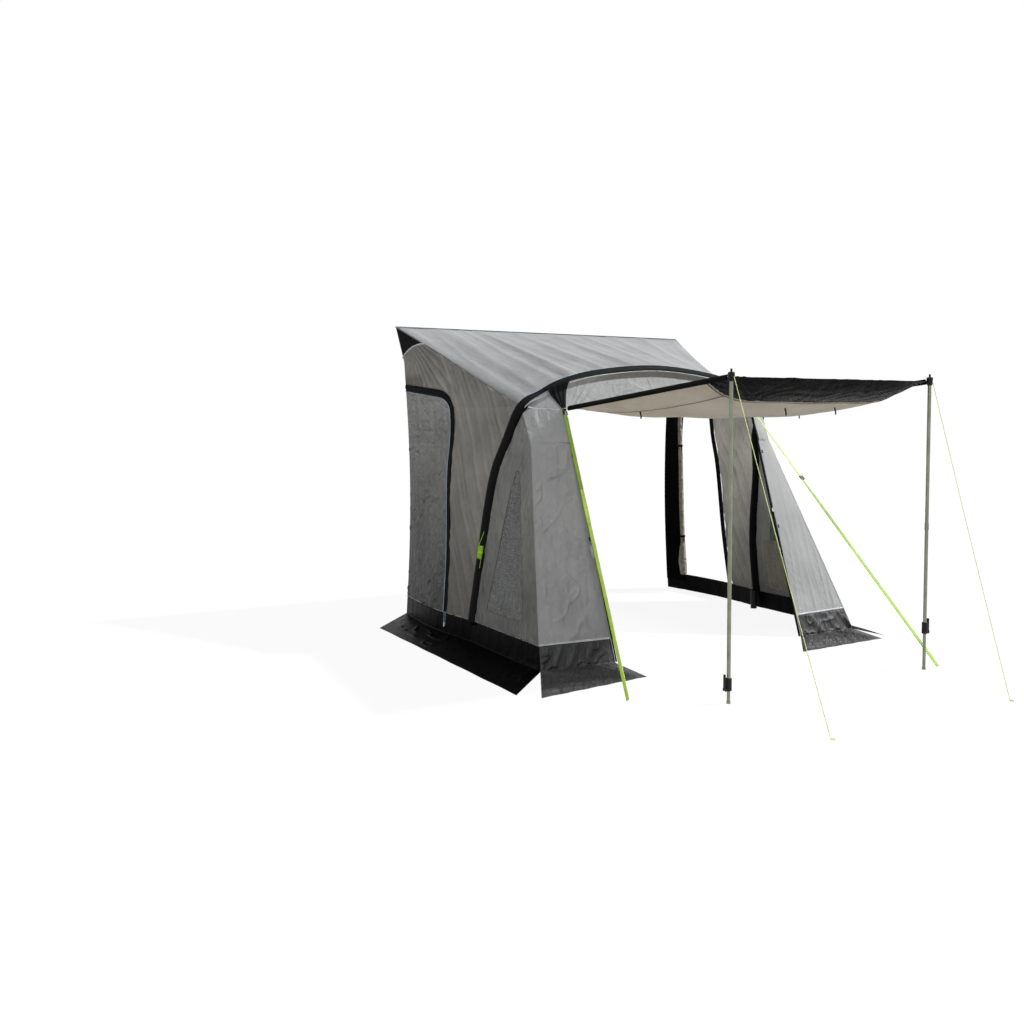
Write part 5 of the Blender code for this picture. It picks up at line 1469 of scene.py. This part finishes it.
def fore_relief(out, height, u, v):
    """Fine pleats beside the leg, parallel to the window's edge, and gathers below the window."""
    reach = folds("fore_leg", 0.98 * out - 0.18 * height, height)
    below = ease((WINDOW_LOW + 0.01 - height) / 0.05)
    reach += folds("fore_gathers", out + 0.35 * height, height) * below
    reach += crumples("fore", out, height)
    return reach * away_from(ridge_out(height) - out, 0, 0.05) * away_from(out - leg_out(height), 0, 0.03)


def gusset_relief(out, height, u, v):
    return folds("rail_gusset", out + 0.4 * height, height) * away_from(out, 0, 0.03)


def window_relief(out, height, u, v):
    return folds("window", out - 0.18 * height, height)


def band_relief(s, t, u, v):
    """A soft bulge along the zip band, flatter where the slider runs."""
    bulge = BAND_BULGE * np.sin(np.pi * np.clip(u * 1.25, 0, 1)) ** 0.8
    upper = away_from(t, BAND_FLAT_LENGTH, 0.12)
    return bulge * mix(BAND_FLAT_SHARE, 1, upper) + crumples("zip_band", s * 2, t) * upper


def strip_relief(s, t, u, v):
    return -folds("draught_strip", s, t) * away_from(u, 0, 0.1)


def outward_at(edge, side):
    """The wall's outward direction at (out, height) places."""
    normal = unit(np.cross(*slopes(aft_at, *edge.T)))
    return mirrored(normal * np.sign(normal[:, :1]), side)


def build_wall(word, side, wall, outward):
    gusset = gusset_edge()
    door = door_edge(0.0)
    outline = np.vstack([door[:1], upright(leg_out, MUD_HEIGHT + GAP, SHOULDER_HEIGHT),
                         eave_line(1.0, gusset[-1, 0] / SHOULDER_OUT), gusset[-2::-1], door[:0:-1]])
    cloth("side_wall_cloth_" + word, wall, cut_out(FINE, outline), outward, SIDE, "side_cloth",
          wall_relief, replaces=["side_wall_" + word])
    corner = np.vstack([gusset, eave_line(gusset[-1, 0] / SHOULDER_OUT, 0.0)[1:]])
    cloth("rail_gusset_cloth_" + word, wall, cut_out(FINE, corner), outward, GUSSET, "webbing_black",
          gusset_relief, replaces=["rail_gusset_" + word])
    line = resampled(gusset, FINE)
    ribbon("gusset_piping", word, wall(*line.T), outward_at(line, side))


def build_door_band(word, side, wall, outward):
    """The zip band round the door, its coil, its piping and its tail over the mud wall."""
    outer, inner = resampled(door_edge(0.0), FINE), resampled(door_edge(ZIP_BAND), FINE)
    shares = np.linspace(0, 1, len(outer))
    inner = read_line(inner, np.linspace(0, 1, len(inner)), shares)

    def band(u, v):
        at = between(read_line(outer, shares, v), read_line(inner, shares, v), u)
        return wall(at[..., 0], at[..., 1])
    cloth("zip_band_cloth_" + word, band, grid(BAND_COLUMNS, len(outer)), outward, BLACK_TAPE,
          "webbing_black", band_relief, replaces=["door_zip_band_" + word])
    piping = resampled(door_edge(ZIP_BAND + DOOR_PIPING_INSET), LINE_PITCH)
    tube("door_piping", word, wall(*piping.T) + outward_at(piping, side) * DOOR_PIPING_LIFT)
    teeth = resampled(door_edge(ZIP_BAND - DOOR_TEETH_INSET), LINE_PITCH)
    zip_teeth("door_zip_coil_" + word, wall(*teeth.T) + outward * TEETH_LIFT, outward)
    heights = np.linspace(MUD_HEIGHT + CLOTH, DOOR_SLIDER_HEIGHT - ZIP_TAIL_DROP, 12)
    middle = door_front(heights) - ZIP_BAND / 2
    ribbon("door_zip_tail", word, wall(middle, heights), outward)
    for sign, edge in ((-1, "rear"), (1, "front")):
        tail = wall(middle + sign * ZIP_TAIL_HALF, heights) + outward * ZIP_TAIL_LIFT
        tube("door_tail_piping", edge + "_" + word, tail)


def build_strip(word, side, outward):
    """The draught strip behind the door's rear edge."""
    behind = spanned(on_aft, 0.0, STRIP_WIDTH / SHOULDER_OUT, MUD_HEIGHT - STRIP_OVERLAP,
                     DOOR_REAR_HEIGHT + STRIP_OVERLAP)

    def surface(u, v):
        return mirrored(behind(u, v) - SIDEWARD * (CLOTH + INNER_GAP), side)
    cloth("draught_strip_cloth_" + word, surface, grid(*GRIDS["strip"]), outward, STRIP, "webbing_black",
          strip_relief, replaces=["draught_strip_" + word],
          inset=STRIP_INSET)


def build_fore(word, front, outward):
    """The panel in front of the beam, with its window."""
    top = SHOULDER_HEIGHT - SLEEVE_RADIUS / 2
    outline = np.vstack([upright(leg_out, MUD_HEIGHT + GAP, top), upright(ridge_out, top, MUD_HEIGHT + GAP)])
    window = window_edge(0.0)
    cloth("side_front_cloth_" + word, front, cut_out(FINER, outline, window), outward, FORE, "side_cloth",
          fore_relief, replaces=["side_front_panel_" + word])
    cloth("window_net_" + word, front, cut_out(NET_PITCH, window_edge(-NET_OVERLAP)), outward, WINDOW,
          "window_mesh", window_relief, replaces=["side_window_" + word],
          inset=NET_INSET)
    loop = resampled(np.vstack([window, window[:1]]), LINE_PITCH)[:-1]
    tube("window_stitching", word, front(*loop.T) + outward * STITCH_LIFT, closed=True)


def build_side(word, side):
    outward = SIDEWARD * side
    wall = sided(aft_at, side)
    build_wall(word, side, wall, outward)
    build_door_band(word, side, wall, outward)
    if word == "left":
        panel = np.vstack([door_edge(ZIP_BAND + GAP), [[0.0, MUD_HEIGHT + GAP]]])
        cloth("door_cloth_left", wall, cut_out(FINER, panel), outward, DOOR, "side_cloth", door_relief,
              body="door", replaces=["door_panel_left"])
    build_strip(word, side, outward)
    build_fore(word, sided(fore_at, side), outward)
    foot = on_side_foot(np.linspace(0.0, 1.0, 120), np.full(120, MUD_HEIGHT + MUD_PIPING_RISE))
    tube("mud_piping_side", word, mirrored(foot, side) + outward * MUD_PIPING_LIFT)


for side_word, side_sign in SIDES.items():
    build_side(side_word, side_sign)


# Front panels, mud walls and ground flaps

FOLD = 0.62
MUD_HEM_RISE = 0.006
RIDGE_DROP = 0.03
DOORWAY_PIPING_LIFT = 0.0022
COIL_LIFT = 0.0004


def front_relief_left(s, t, u, v):
    """Crumples pressed into the cloth, thickest across its middle."""
    middle = np.exp(-((v - 0.40) / 0.34) ** 2)
    reach = crumples("front_left_broad", s, t) * mix(0.35, 1, middle)
    reach += crumples("front_left_slanted", s + 0.4 * t, t) * middle
    return reach + folds("front_left", s, t)


def front_relief_right(s, t, u, v):
    """Slanted creases that sweep down from the outer edge."""
    reach = crumples("front_right_long", s - 0.10 * t, t / 2.3)
    return reach + folds("front_right", s + 0.30 * t, t) + crumples("front_right_fine", s, t)


def seamed(relief, width=0.05):
    """Relief that dies away towards all four edges of its patch."""
    def reach(s, t, u, v):
        sides = away_from(s, 0, width) * away_from(s.max(axis=1, keepdims=True) - s, 0, width)
        return relief(s, t, u, v) * sides * away_from(t, 0, width) * away_from(1 - v, 0, 0.05)
    return reach


def foot_patch(wall, outer_edge):
    """A mud wall and its ground flap in one cloth, from the flap's outer edge up to the wall's top."""
    def patch(u, v):
        rise = np.clip((v - FOLD) / (1 - FOLD), 0, 1)
        standing = wall(u, mix(CLOTH, MUD_HEIGHT, rise))
        spread = np.clip(1 - v / FOLD, 0, 1)
        lying = between(wall(u, np.full(np.shape(u), CLOTH)), between(*outer_edge, u), spread)
        lying[..., 2] = CLOTH + FLAP_RIPPLE * np.sin(FLAP_RIPPLES * np.pi * u) ** 2 * spread
        return np.where((v >= FOLD)[..., None], standing, lying)
    return patch


def side_foot_relief(s, t, u, v):
    """Soft vertical folds on the wall, and slack creases over the flap."""
    wall = away_from(v, FOLD, 0.08)
    tip = np.exp(-((1 - u) / 0.13) ** 2)
    flap = crumples("side_flap", s, t * 1.6) + tip * crumples("side_flap_tip", s, t)
    reach = mix(flap, folds("side_foot", s, t) + crumples("side_foot", s, t), wall)
    return reach * away_from(v, 0, 0.12) * away_from(1 - v, 0, 0.03) * within(u, 0.02)


def front_foot_relief(tip_share):
    """Deep vertical folds on the wall; folds on the flap that run to one corner."""
    def relief(s, t, u, v):
        upright_folds = folds("front_foot", s - 0.45 * t, t) + crumples("front_foot", s, t)
        across = np.abs(u - tip_share) + 0.02
        angle = np.arctan2(v / FOLD + 0.02, across)
        flap = folds("front_flap", angle, across) * away_from(across, 0.02, 0.25)
        reach = mix(flap, upright_folds * away_from(1 - u, 0.02, 0.12), away_from(v, FOLD, 0.06))
        return reach * away_from(v, 0, 0.10) * away_from(1 - v, 0, 0.03) * within(u, 0.02)
    return relief


def front_top(share):
    return mix(SHOULDER_HEIGHT, HINGE_HEIGHT, share) - 4 * GAP


def build_front(word, side):
    outward = np.array([side, 0.0, 1.0])
    rear, tip = SIDE_FLAP_SHARES[word]
    outer_edge = (place(BASE_HALF + rear[0] * FLAP_WIDTH, rear[1] * FLAP_WIDTH, 0),
                  place(CORNER_HALF + tip[0] * FLAP_WIDTH, CORNER_OUT + tip[1] * FLAP_WIDTH, 0))
    patch = sided(foot_patch(on_side_foot, outer_edge), side)
    cloth("side_mud_cloth_" + word, patch, grid(*GRIDS["side_foot"]), outward, MUD_SIDE, "mud_cloth",
          side_foot_relief, replaces=["side_mud_wall_" + word],
          inset=0.0)

    outer, inner = FRONT_FLAP_SHARES[word]
    outer_edge = (place(CORNER_HALF + outer[0] * FLAP_WIDTH, CORNER_OUT + outer[1] * FLAP_WIDTH, 0),
                  place(DOORWAY_HALF + inner[0] * FLAP_WIDTH, DOORWAY_OUT + inner[1] * FLAP_WIDTH, 0))
    patch = sided(foot_patch(on_front, outer_edge), side)
    tip_share = 1.0 if word == "left" else 0.0
    cloth("front_mud_cloth_" + word, patch, grid(*GRIDS["front_foot"]), (0, -1, 1), MUD_FRONT, "mud_cloth",
          front_foot_relief(tip_share), replaces=["front_mud_wall_" + word],
          inset=0.0)

    panel = sided(spanned(on_front, 0.0, 1.0, MUD_HEIGHT + GAP, front_top), side)
    relief = front_relief_left if word == "left" else front_relief_right
    look = FRONT_LEFT if word == "left" else FRONT_RIGHT
    cloth("front_cloth_" + word, panel, grid(*GRIDS["front"]), FRONTWARD, look, "front_cloth", seamed(relief),
          replaces=["front_panel_" + word])

    hem = mirrored(on_front(np.linspace(0, 1, 50), MUD_HEIGHT + MUD_HEM_RISE), side)
    ribbon("mud_hem_front", word, hem, PANEL_FACING)
    ridge = mirrored(on_corner(np.linspace(MUD_HEIGHT, SHOULDER_HEIGHT - RIDGE_DROP, 120)), side)
    ribbon("ridge_seam", word, ridge, unit(np.array([side * 1.0, -1.0, 0.2])), look)

    def tape(u, v):
        height = mix(2 * CLOTH, HINGE_HEIGHT * TAPE_TOP_SHARE, v)
        return mirrored(on_doorway(height) - SIDEWARD * (GAP + TAPE_WIDTH * u[..., None]), side)
    cloth("zip_tape_cloth_" + word, tape, grid(*GRIDS["tape"]), FRONTWARD, BLACK_TAPE, "webbing_black",
          replaces=["front_zip_tape_" + word])
    edge = on_doorway(np.linspace(2 * CLOTH, HINGE_HEIGHT * TAPE_TOP_SHARE, 110))
    tube("doorway_piping", word, mirrored(edge, side) + PANEL_FACING * DOORWAY_PIPING_LIFT)
    coil = mirrored(edge - SIDEWARD * (TAPE_WIDTH * 0.5), side) + PANEL_FACING * COIL_LIFT
    zip_teeth("doorway_zip_coil_" + word, coil, PANEL_FACING)


for side_word, side_sign in SIDES.items():
    build_front(side_word, side_sign)


# The beam's sleeve

def sleeve_frame(path):
    """Directions round a path: the wall's outward side first, then along the wall."""
    tangent = unit(np.gradient(path, axis=0))
    ahead = np.broadcast_to(FRONTWARD, tangent.shape)
    ahead = unit(ahead - tangent * (ahead * tangent).sum(1, keepdims=True))
    return np.cross(tangent, ahead), ahead


SLEEVE_SIDES = 40
CUFF_LENGTH = 0.016
SEAM_RISE = 0.0016
SLEEVE_PIPING_LIFT_SHARE = 0.8


def build_sleeve():
    """The black cloth tunnel, ruched where it bends, with a raised seam front and back."""
    path = resampled(BEAM_PATH, FINE)
    path = path[path[:, 2] > MUD_HEIGHT - 2 * CUFF_LENGTH]
    lengths = lengths_along(path)
    turn, run = np.meshgrid(np.linspace(0, 2 * np.pi, SLEEVE_SIDES, endpoint=False), lengths)
    bend = np.linalg.norm(np.gradient(unit(np.gradient(path, axis=0)), axis=0), axis=1) / FINE
    slack = ease(bend / 1.6)[:, None]
    radius = SLEEVE_RADIUS + SKIN
    radius += folds("sleeve", run + 0.012 * np.sin(turn), turn * 0.03) * (0.15 + 0.85 * slack)
    radius += SEAM_RISE * np.exp(-((np.abs(np.sin(turn)) - 1) / 0.02) ** 2)
    radius += crumples("sleeve", turn * SLEEVE_RADIUS, run)
    to_end = np.minimum(run, run.max() - run)
    radius *= np.sqrt(np.clip(to_end / CUFF_LENGTH, 0.02, 1))
    section = np.stack([np.cos(turn) * radius, np.sin(turn) * radius], axis=-1)
    points, faces = swept(path, section, *sleeve_frame(path))
    flat = np.stack([(turn * SLEEVE_RADIUS).ravel(), run.ravel()], axis=1)
    if areas(points, faces)[0] @ (points[faces[0]].mean(0) - path[0]) < 0:
        faces = faces[:, ::-1]
    sleeve = mesh_piece("sleeve_cloth", points, faces, SLEEVE, flat)
    add_skin(sleeve)
    settle(sleeve, "sleeve_cloth", "beam_sleeve")
    arch = path[(path[:, 2] > SHOULDER_HEIGHT)]
    side_axis, ahead = sleeve_frame(arch)
    above = side_axis * np.sign(side_axis[:, 2:3])
    reach = SLEEVE_RADIUS + SLEEVE_PIPING_LIFT_SHARE * HEADER_CLEARANCE
    for place_word, forward, upward in (("front", 0.985, -0.17), ("top", 0.10, 0.99)):
        tube("sleeve_piping_" + place_word, "", arch + (ahead * forward + above * upward) * reach)


build_sleeve()


# The corner gussets under the arch, their rings, toggles and other small trim

RING_HALVES = (0.0150, 0.0085)
RING_PLACE_SHARE = 0.35
RING_POINTS = 28
TOGGLE_SIZE = (0.013, 0.030, 0.009)
TOGGLE_RINGS = 9
TOGGLE_SIDES = 12
TOGGLE_HEIGHTS = (1.33, 0.78)
TOGGLE_INSET = 0.010
DOOR_TOGGLE_SIZE = (0.012, 0.026, 0.009)
DOOR_TOGGLE_HEIGHTS = (1.345, 0.700)
DOOR_TOGGLE_OUT = 0.020
TAG_HEIGHTS = (0.66, 0.74)
TAG_INSET = 0.004
TAG_LIFT = 0.002


def build_corner(word, side):
    root, line, sideways, face = corner_line(word, side)
    tip = side * HINGE_HALF / SHOULDER_HALF
    tip_half = TAB_WIDTH / 2 / SHOULDER_HALF

    def patch(u, v):
        down = np.clip(v / PATCH_TAB_SHARE, 0, 1)
        outer = mix(side * PATCH_OUTER_SHARE, tip + side * tip_half, down ** PATCH_CURVE)
        inner = mix(side * PATCH_INNER_SHARE, tip - side * tip_half, down ** PATCH_CURVE)
        share = mix(outer, inner, u)
        on_panel = on_header(share, down)
        stand = GUSSET_LIFT + off_sleeve(from_beam(on_panel))
        panel = on_panel - header_normal(share, down) * stand[..., None]
        run = np.clip((v - PATCH_TAB_SHARE) / (1 - PATCH_TAB_SHARE), 0, 1)[..., None]
        tab = root + sideways * side * TAB_WIDTH * (0.5 - u[..., None]) + line * TAB_LENGTH * run
        return np.where((v <= PATCH_TAB_SHARE)[..., None], panel, tab)

    def relief(s, t, u, v):
        gathers = folds("corner_gusset", u * 0.16 + 0.02 * v, v * 0.2)
        return gathers * np.sin(np.pi * np.clip(v / PATCH_TAB_SHARE, 0, 1)) ** 0.7
    cloth("corner_gusset_cloth_" + word, patch, grid(*GRIDS["corner_gusset"]), FRONTWARD, GUSSET,
          "webbing_black", relief, replaces=["arch_gusset_" + word])

    turn = np.linspace(0, 2 * np.pi, RING_POINTS, endpoint=False)[:, None]
    ring = (root + line * (TAB_LENGTH * RING_PLACE_SHARE) + sideways * RING_HALVES[0] * np.cos(turn)
            + face * RING_HALVES[1] * np.sin(turn))
    tube("corner_ring", word, ring, closed=True)


def toggle(name, at, line, outward, size=TOGGLE_SIZE):
    """A black moulded toggle: a short rounded bar with a waist."""
    across = unit(np.cross(line, outward))
    width, length, depth = np.array(size) / 2
    share = np.linspace(-1, 1, TOGGLE_RINGS)[:, None, None]
    scale = (1 - 0.35 * np.exp(-(share / 0.35) ** 2)) * np.sqrt(np.maximum(0.04, 1 - share ** 4))
    angle = np.linspace(0, 2 * np.pi, TOGGLE_SIDES, endpoint=False)[None, :, None]
    points = (at + line * share * length + across * np.cos(angle) * width * scale
              + outward * (np.sin(angle) * depth * scale + depth))
    settle(mesh_piece(name, points.reshape(-1, 3), capped(TOGGLE_RINGS, TOGGLE_SIDES), BLACK_PLASTIC),
           "black_plastic")


def build_trim():
    for word, side in SIDES.items():
        rise = unit(mirrored(on_doorway(1.0) - on_doorway(0.0), side))
        for number, height in enumerate(TOGGLE_HEIGHTS):
            at = mirrored(on_doorway(height) + SIDEWARD * TOGGLE_INSET, side) + PANEL_FACING * TAG_LIFT
            toggle("toggle_%s_%d" % (word, number), at, rise, PANEL_FACING)
    tag = mirrored(on_doorway(np.array(TAG_HEIGHTS)) + SIDEWARD * TAG_INSET, SIDES["left"])
    ribbon("doorway_tag", "", tag, PANEL_FACING, lift=TAG_LIFT)
    for number, height in enumerate(DOOR_TOGGLE_HEIGHTS):
        at = mirrored(aft_at(DOOR_TOGGLE_OUT, np.float64(height)), SIDES["left"])
        toggle("door_toggle_%d" % number, at, np.array(UPWARD), -SIDEWARD, DOOR_TOGGLE_SIZE)
    drop = np.linspace(0, CANOPY_TIE_LENGTH, 8)
    hang = np.stack([0.006 * np.sin(drop * 60), 0.004 * np.cos(drop * 45), -drop], axis=1)
    for number, (across, share) in enumerate(CANOPY_TIES):
        top = on_canopy(across, share) - np.array(UPWARD) * CLOTH
        ribbon("canopy_tie", str(number), top + hang, FRONTWARD)


for side_word, side_sign in SIDES.items():
    build_corner(side_word, side_sign)
build_trim()


# The rolled right door, its ties and the blind

ROLL_TURNS = 3
ROLL_STEPS = 38
TIE_STEPS = 48
TIE_END_LENGTH = 0.045
TIE_END_LIFT = 0.002


def roll_radius(height):
    keys, sizes = zip(*ROLL_SHARES)
    return ROLL_RADIUS * np.interp((height - ROLL_BOTTOM) / (ROLL_TOP - ROLL_BOTTOM), keys, sizes)


def pinched(height):
    pinch = sum(np.exp(-((height - tie) / ROLL_PINCH_HEIGHT) ** 4) for tie in TIE_HEIGHTS.values())
    return roll_radius(height) - ROLL_RADIUS * ROLL_PINCH * pinch


def roll_centre(height):
    out = np.full(np.shape(height), ROLL_OUT)
    depth = CLOTH + TRIM + INNER_GAP + 3 * GAP + roll_radius(height)
    return aft_at(out, height) + unit(np.cross(*slopes(aft_at, out, height))) * depth[..., None]


def round_axis(rise):
    """Two directions square to a rising one."""
    first = unit(np.cross(rise, np.array([0, 1.0, 0])))
    return first, np.cross(rise, first)


def build_roll():
    """The door rolled up from its front edge: three turns of cloth, drawn in at the ties."""
    heights = np.linspace(ROLL_BOTTOM, ROLL_TOP, 170)
    centres = roll_centre(heights)
    first, second = round_axis(unit(np.gradient(centres, axis=0)))
    angle = np.linspace(0, 2 * np.pi * ROLL_TURNS, ROLL_TURNS * ROLL_STEPS)
    share = angle / angle[-1]
    radius = pinched(heights)[:, None] * mix(0.96, 0.42, share)[None, :]
    tight = sum(np.exp(-((heights - tie) / 0.08) ** 2) for tie in TIE_HEIGHTS.values())[:, None]
    gathers = folds("roll", angle[None, :] * 0.03, heights[:, None]) * (1 - 0.5 * tight)
    slack = crumples("roll", angle[None, :] * ROLL_RADIUS, heights[:, None] / 2)
    radius = radius - (gathers + slack) * (1 - share)
    points = (centres[:, None, :] + first[:, None, :] * (radius * np.cos(angle))[..., None]
              + second[:, None, :] * (radius * np.sin(angle))[..., None])
    faces = quads(*points.shape[:2])
    points = points.reshape(-1, 3)
    flat = np.stack(arrays(angle[None, :] * ROLL_RADIUS * 0.7, heights[:, None]), axis=-1).reshape(-1, 2)
    roll = mesh_piece("rolled_door_cloth", points, faces, BLIND, flat)
    add_skin(roll)
    settle(roll, "side_cloth", "rolled_door_right")
    turn = np.linspace(0, 2 * np.pi, TIE_STEPS + 1)[:, None]
    drop = np.linspace(0, TIE_END_LENGTH, 8)
    hang = np.stack([-0.004 * np.sin(drop * 70), -0.05 * drop, -drop], axis=1)
    for word, height in TIE_HEIGHTS.items():
        below, middle, above = roll_centre(height + np.array([-0.01, 0, 0.01]))
        one, two = round_axis(unit(above - below))
        out = one * np.cos(turn) + two * np.sin(turn)
        band = ribbon("roll_band", word, middle + out * pinched(height), out)
        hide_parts("roll_tie_" + word)
        end = out[TIE_STEPS // 4]
        ribbon("roll_band_end", word, middle + end * (pinched(height) + TIE_END_LIFT) + hang, end)


def build_blind():
    """The loose blind behind the right window, gathered towards its lower edge."""
    def patch(u, v):
        point = fore_at(mix(BLIND_REAR, BLIND_FRONT, u), mix(BLIND_BOTTOM, BLIND_TOP, v))
        fold = BLIND_FOLD * np.sin(np.pi * BLIND_FOLDS * u) ** 2 * (1 - BLIND_EASE_SHARE * v)
        return point - SIDEWARD * (CLOTH + 3 * GAP + fold)[..., None]

    def relief(s, t, u, v):
        return -(folds("blind", s + 0.3 * t, t) + crumples("blind", s, t)) * mix(1.0, 0.4, v)
    cloth("blind_cloth_right", patch, grid(*GRIDS["blind"]), SIDEWARD, BLIND, "blind_cloth", relief,
          replaces=["window_blind_right"],
          inset=0.0)


build_roll()
build_blind()


# The frame's own rigid pieces: their finish

WELD = 0.00001
SMOOTH_ANGLE = math.radians(35)
FINISHES = {
    "beam_foot pole_head clamp_body cam_lever corner_buckle": BLACK_PLASTIC,
    "pole_tube foot_tube": POLE_STEEL,
    "door_zip_slider front_zip_slider": ZIP_METAL,
}
SINGLES = {"ladder_buckle_right": BLACK_PLASTIC, "inflation_valve": BLACK_PLASTIC,
           "valve_cap": BLACK_PLASTIC, "air_bladder": BLADDER, "rail_bead": BLACK_TAPE}


def dress(name, look):
    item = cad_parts[name]
    item.data.materials.clear()
    item.data.materials.append(look)
    item.modifiers.new("weld", "WELD").merge_threshold = WELD
    item.data.shade_smooth()
    item.modifiers.new("edges", "EDGE_SPLIT").split_angle = SMOOTH_ANGLE


for kinds, finish in FINISHES.items():
    for kind in kinds.split():
        for side_word in SIDES:
            dress(kind + "_" + side_word, finish)
for node, finish in SINGLES.items():
    dress(node, finish)


# Floor, backdrop and light

FLOOR_SIZE = 60.0
FLOOR_DROP = 0.0005
FLOOR_COLOUR = (0.30, 0.30, 0.30)
FLOOR_GLOW = 1.23
FLOOR_GLOW_SHARE = 0.74
LAMPS = {"key_sun": ((-1.0, 0.40, -1.0), 4.8, math.radians(3)),
         "fill_sun": ((0.42, 0.50, -0.70), 1.5, math.radians(10))}
SKY_STRENGTH = 0.12


def build_floor():
    made = Nodes("floor_paint", 0.9, Base_Color=(*FLOOR_COLOUR, 1))
    speck = made.noise(made.world_place(), 30.0, 2.0)
    made.show(Roughness=made.span(speck, 0.85, 0.95))
    glow = made.add("Emission")
    glow.inputs["Color"].default_value = (*FULL, 1)
    glow.inputs["Strength"].default_value = FLOOR_GLOW
    made.mix_in(made.math("MULTIPLY", made.seen_directly(), FLOOR_GLOW_SHARE), glow)
    half = FLOOR_SIZE / 2
    mesh = bpy.data.meshes.new("floor")
    mesh.from_pydata([(-half, -half, 0), (half, -half, 0), (half, half, 0), (-half, half, 0)], [],
                     [(0, 1, 2, 3)])
    mesh.materials.append(made.look)
    floor = link("floor", mesh)
    floor.location.z = -FLOOR_DROP


def build_light():
    for name, (way, strength, spread) in LAMPS.items():
        lamp = bpy.data.lights.new(name, "SUN")
        lamp.energy = strength
        lamp.angle = spread
        sun = link(name, lamp)
        sun.rotation_mode = "QUATERNION"
        sun.rotation_quaternion = Vector(way).to_track_quat("-Z", "Y")
    world = bpy.data.worlds.new("studio")
    bpy.context.scene.world = world
    world.use_nodes = True
    sky = Tree(world.node_tree)
    ground = sky.tree.nodes["Background"]
    ground.inputs["Color"].default_value = (*FULL, 1)
    sky.join(sky.span(sky.seen_directly(), SKY_STRENGTH, 1.0), ground.inputs["Strength"])


build_floor()
build_light()
bpy.context.scene.view_settings.view_transform = "Standard"
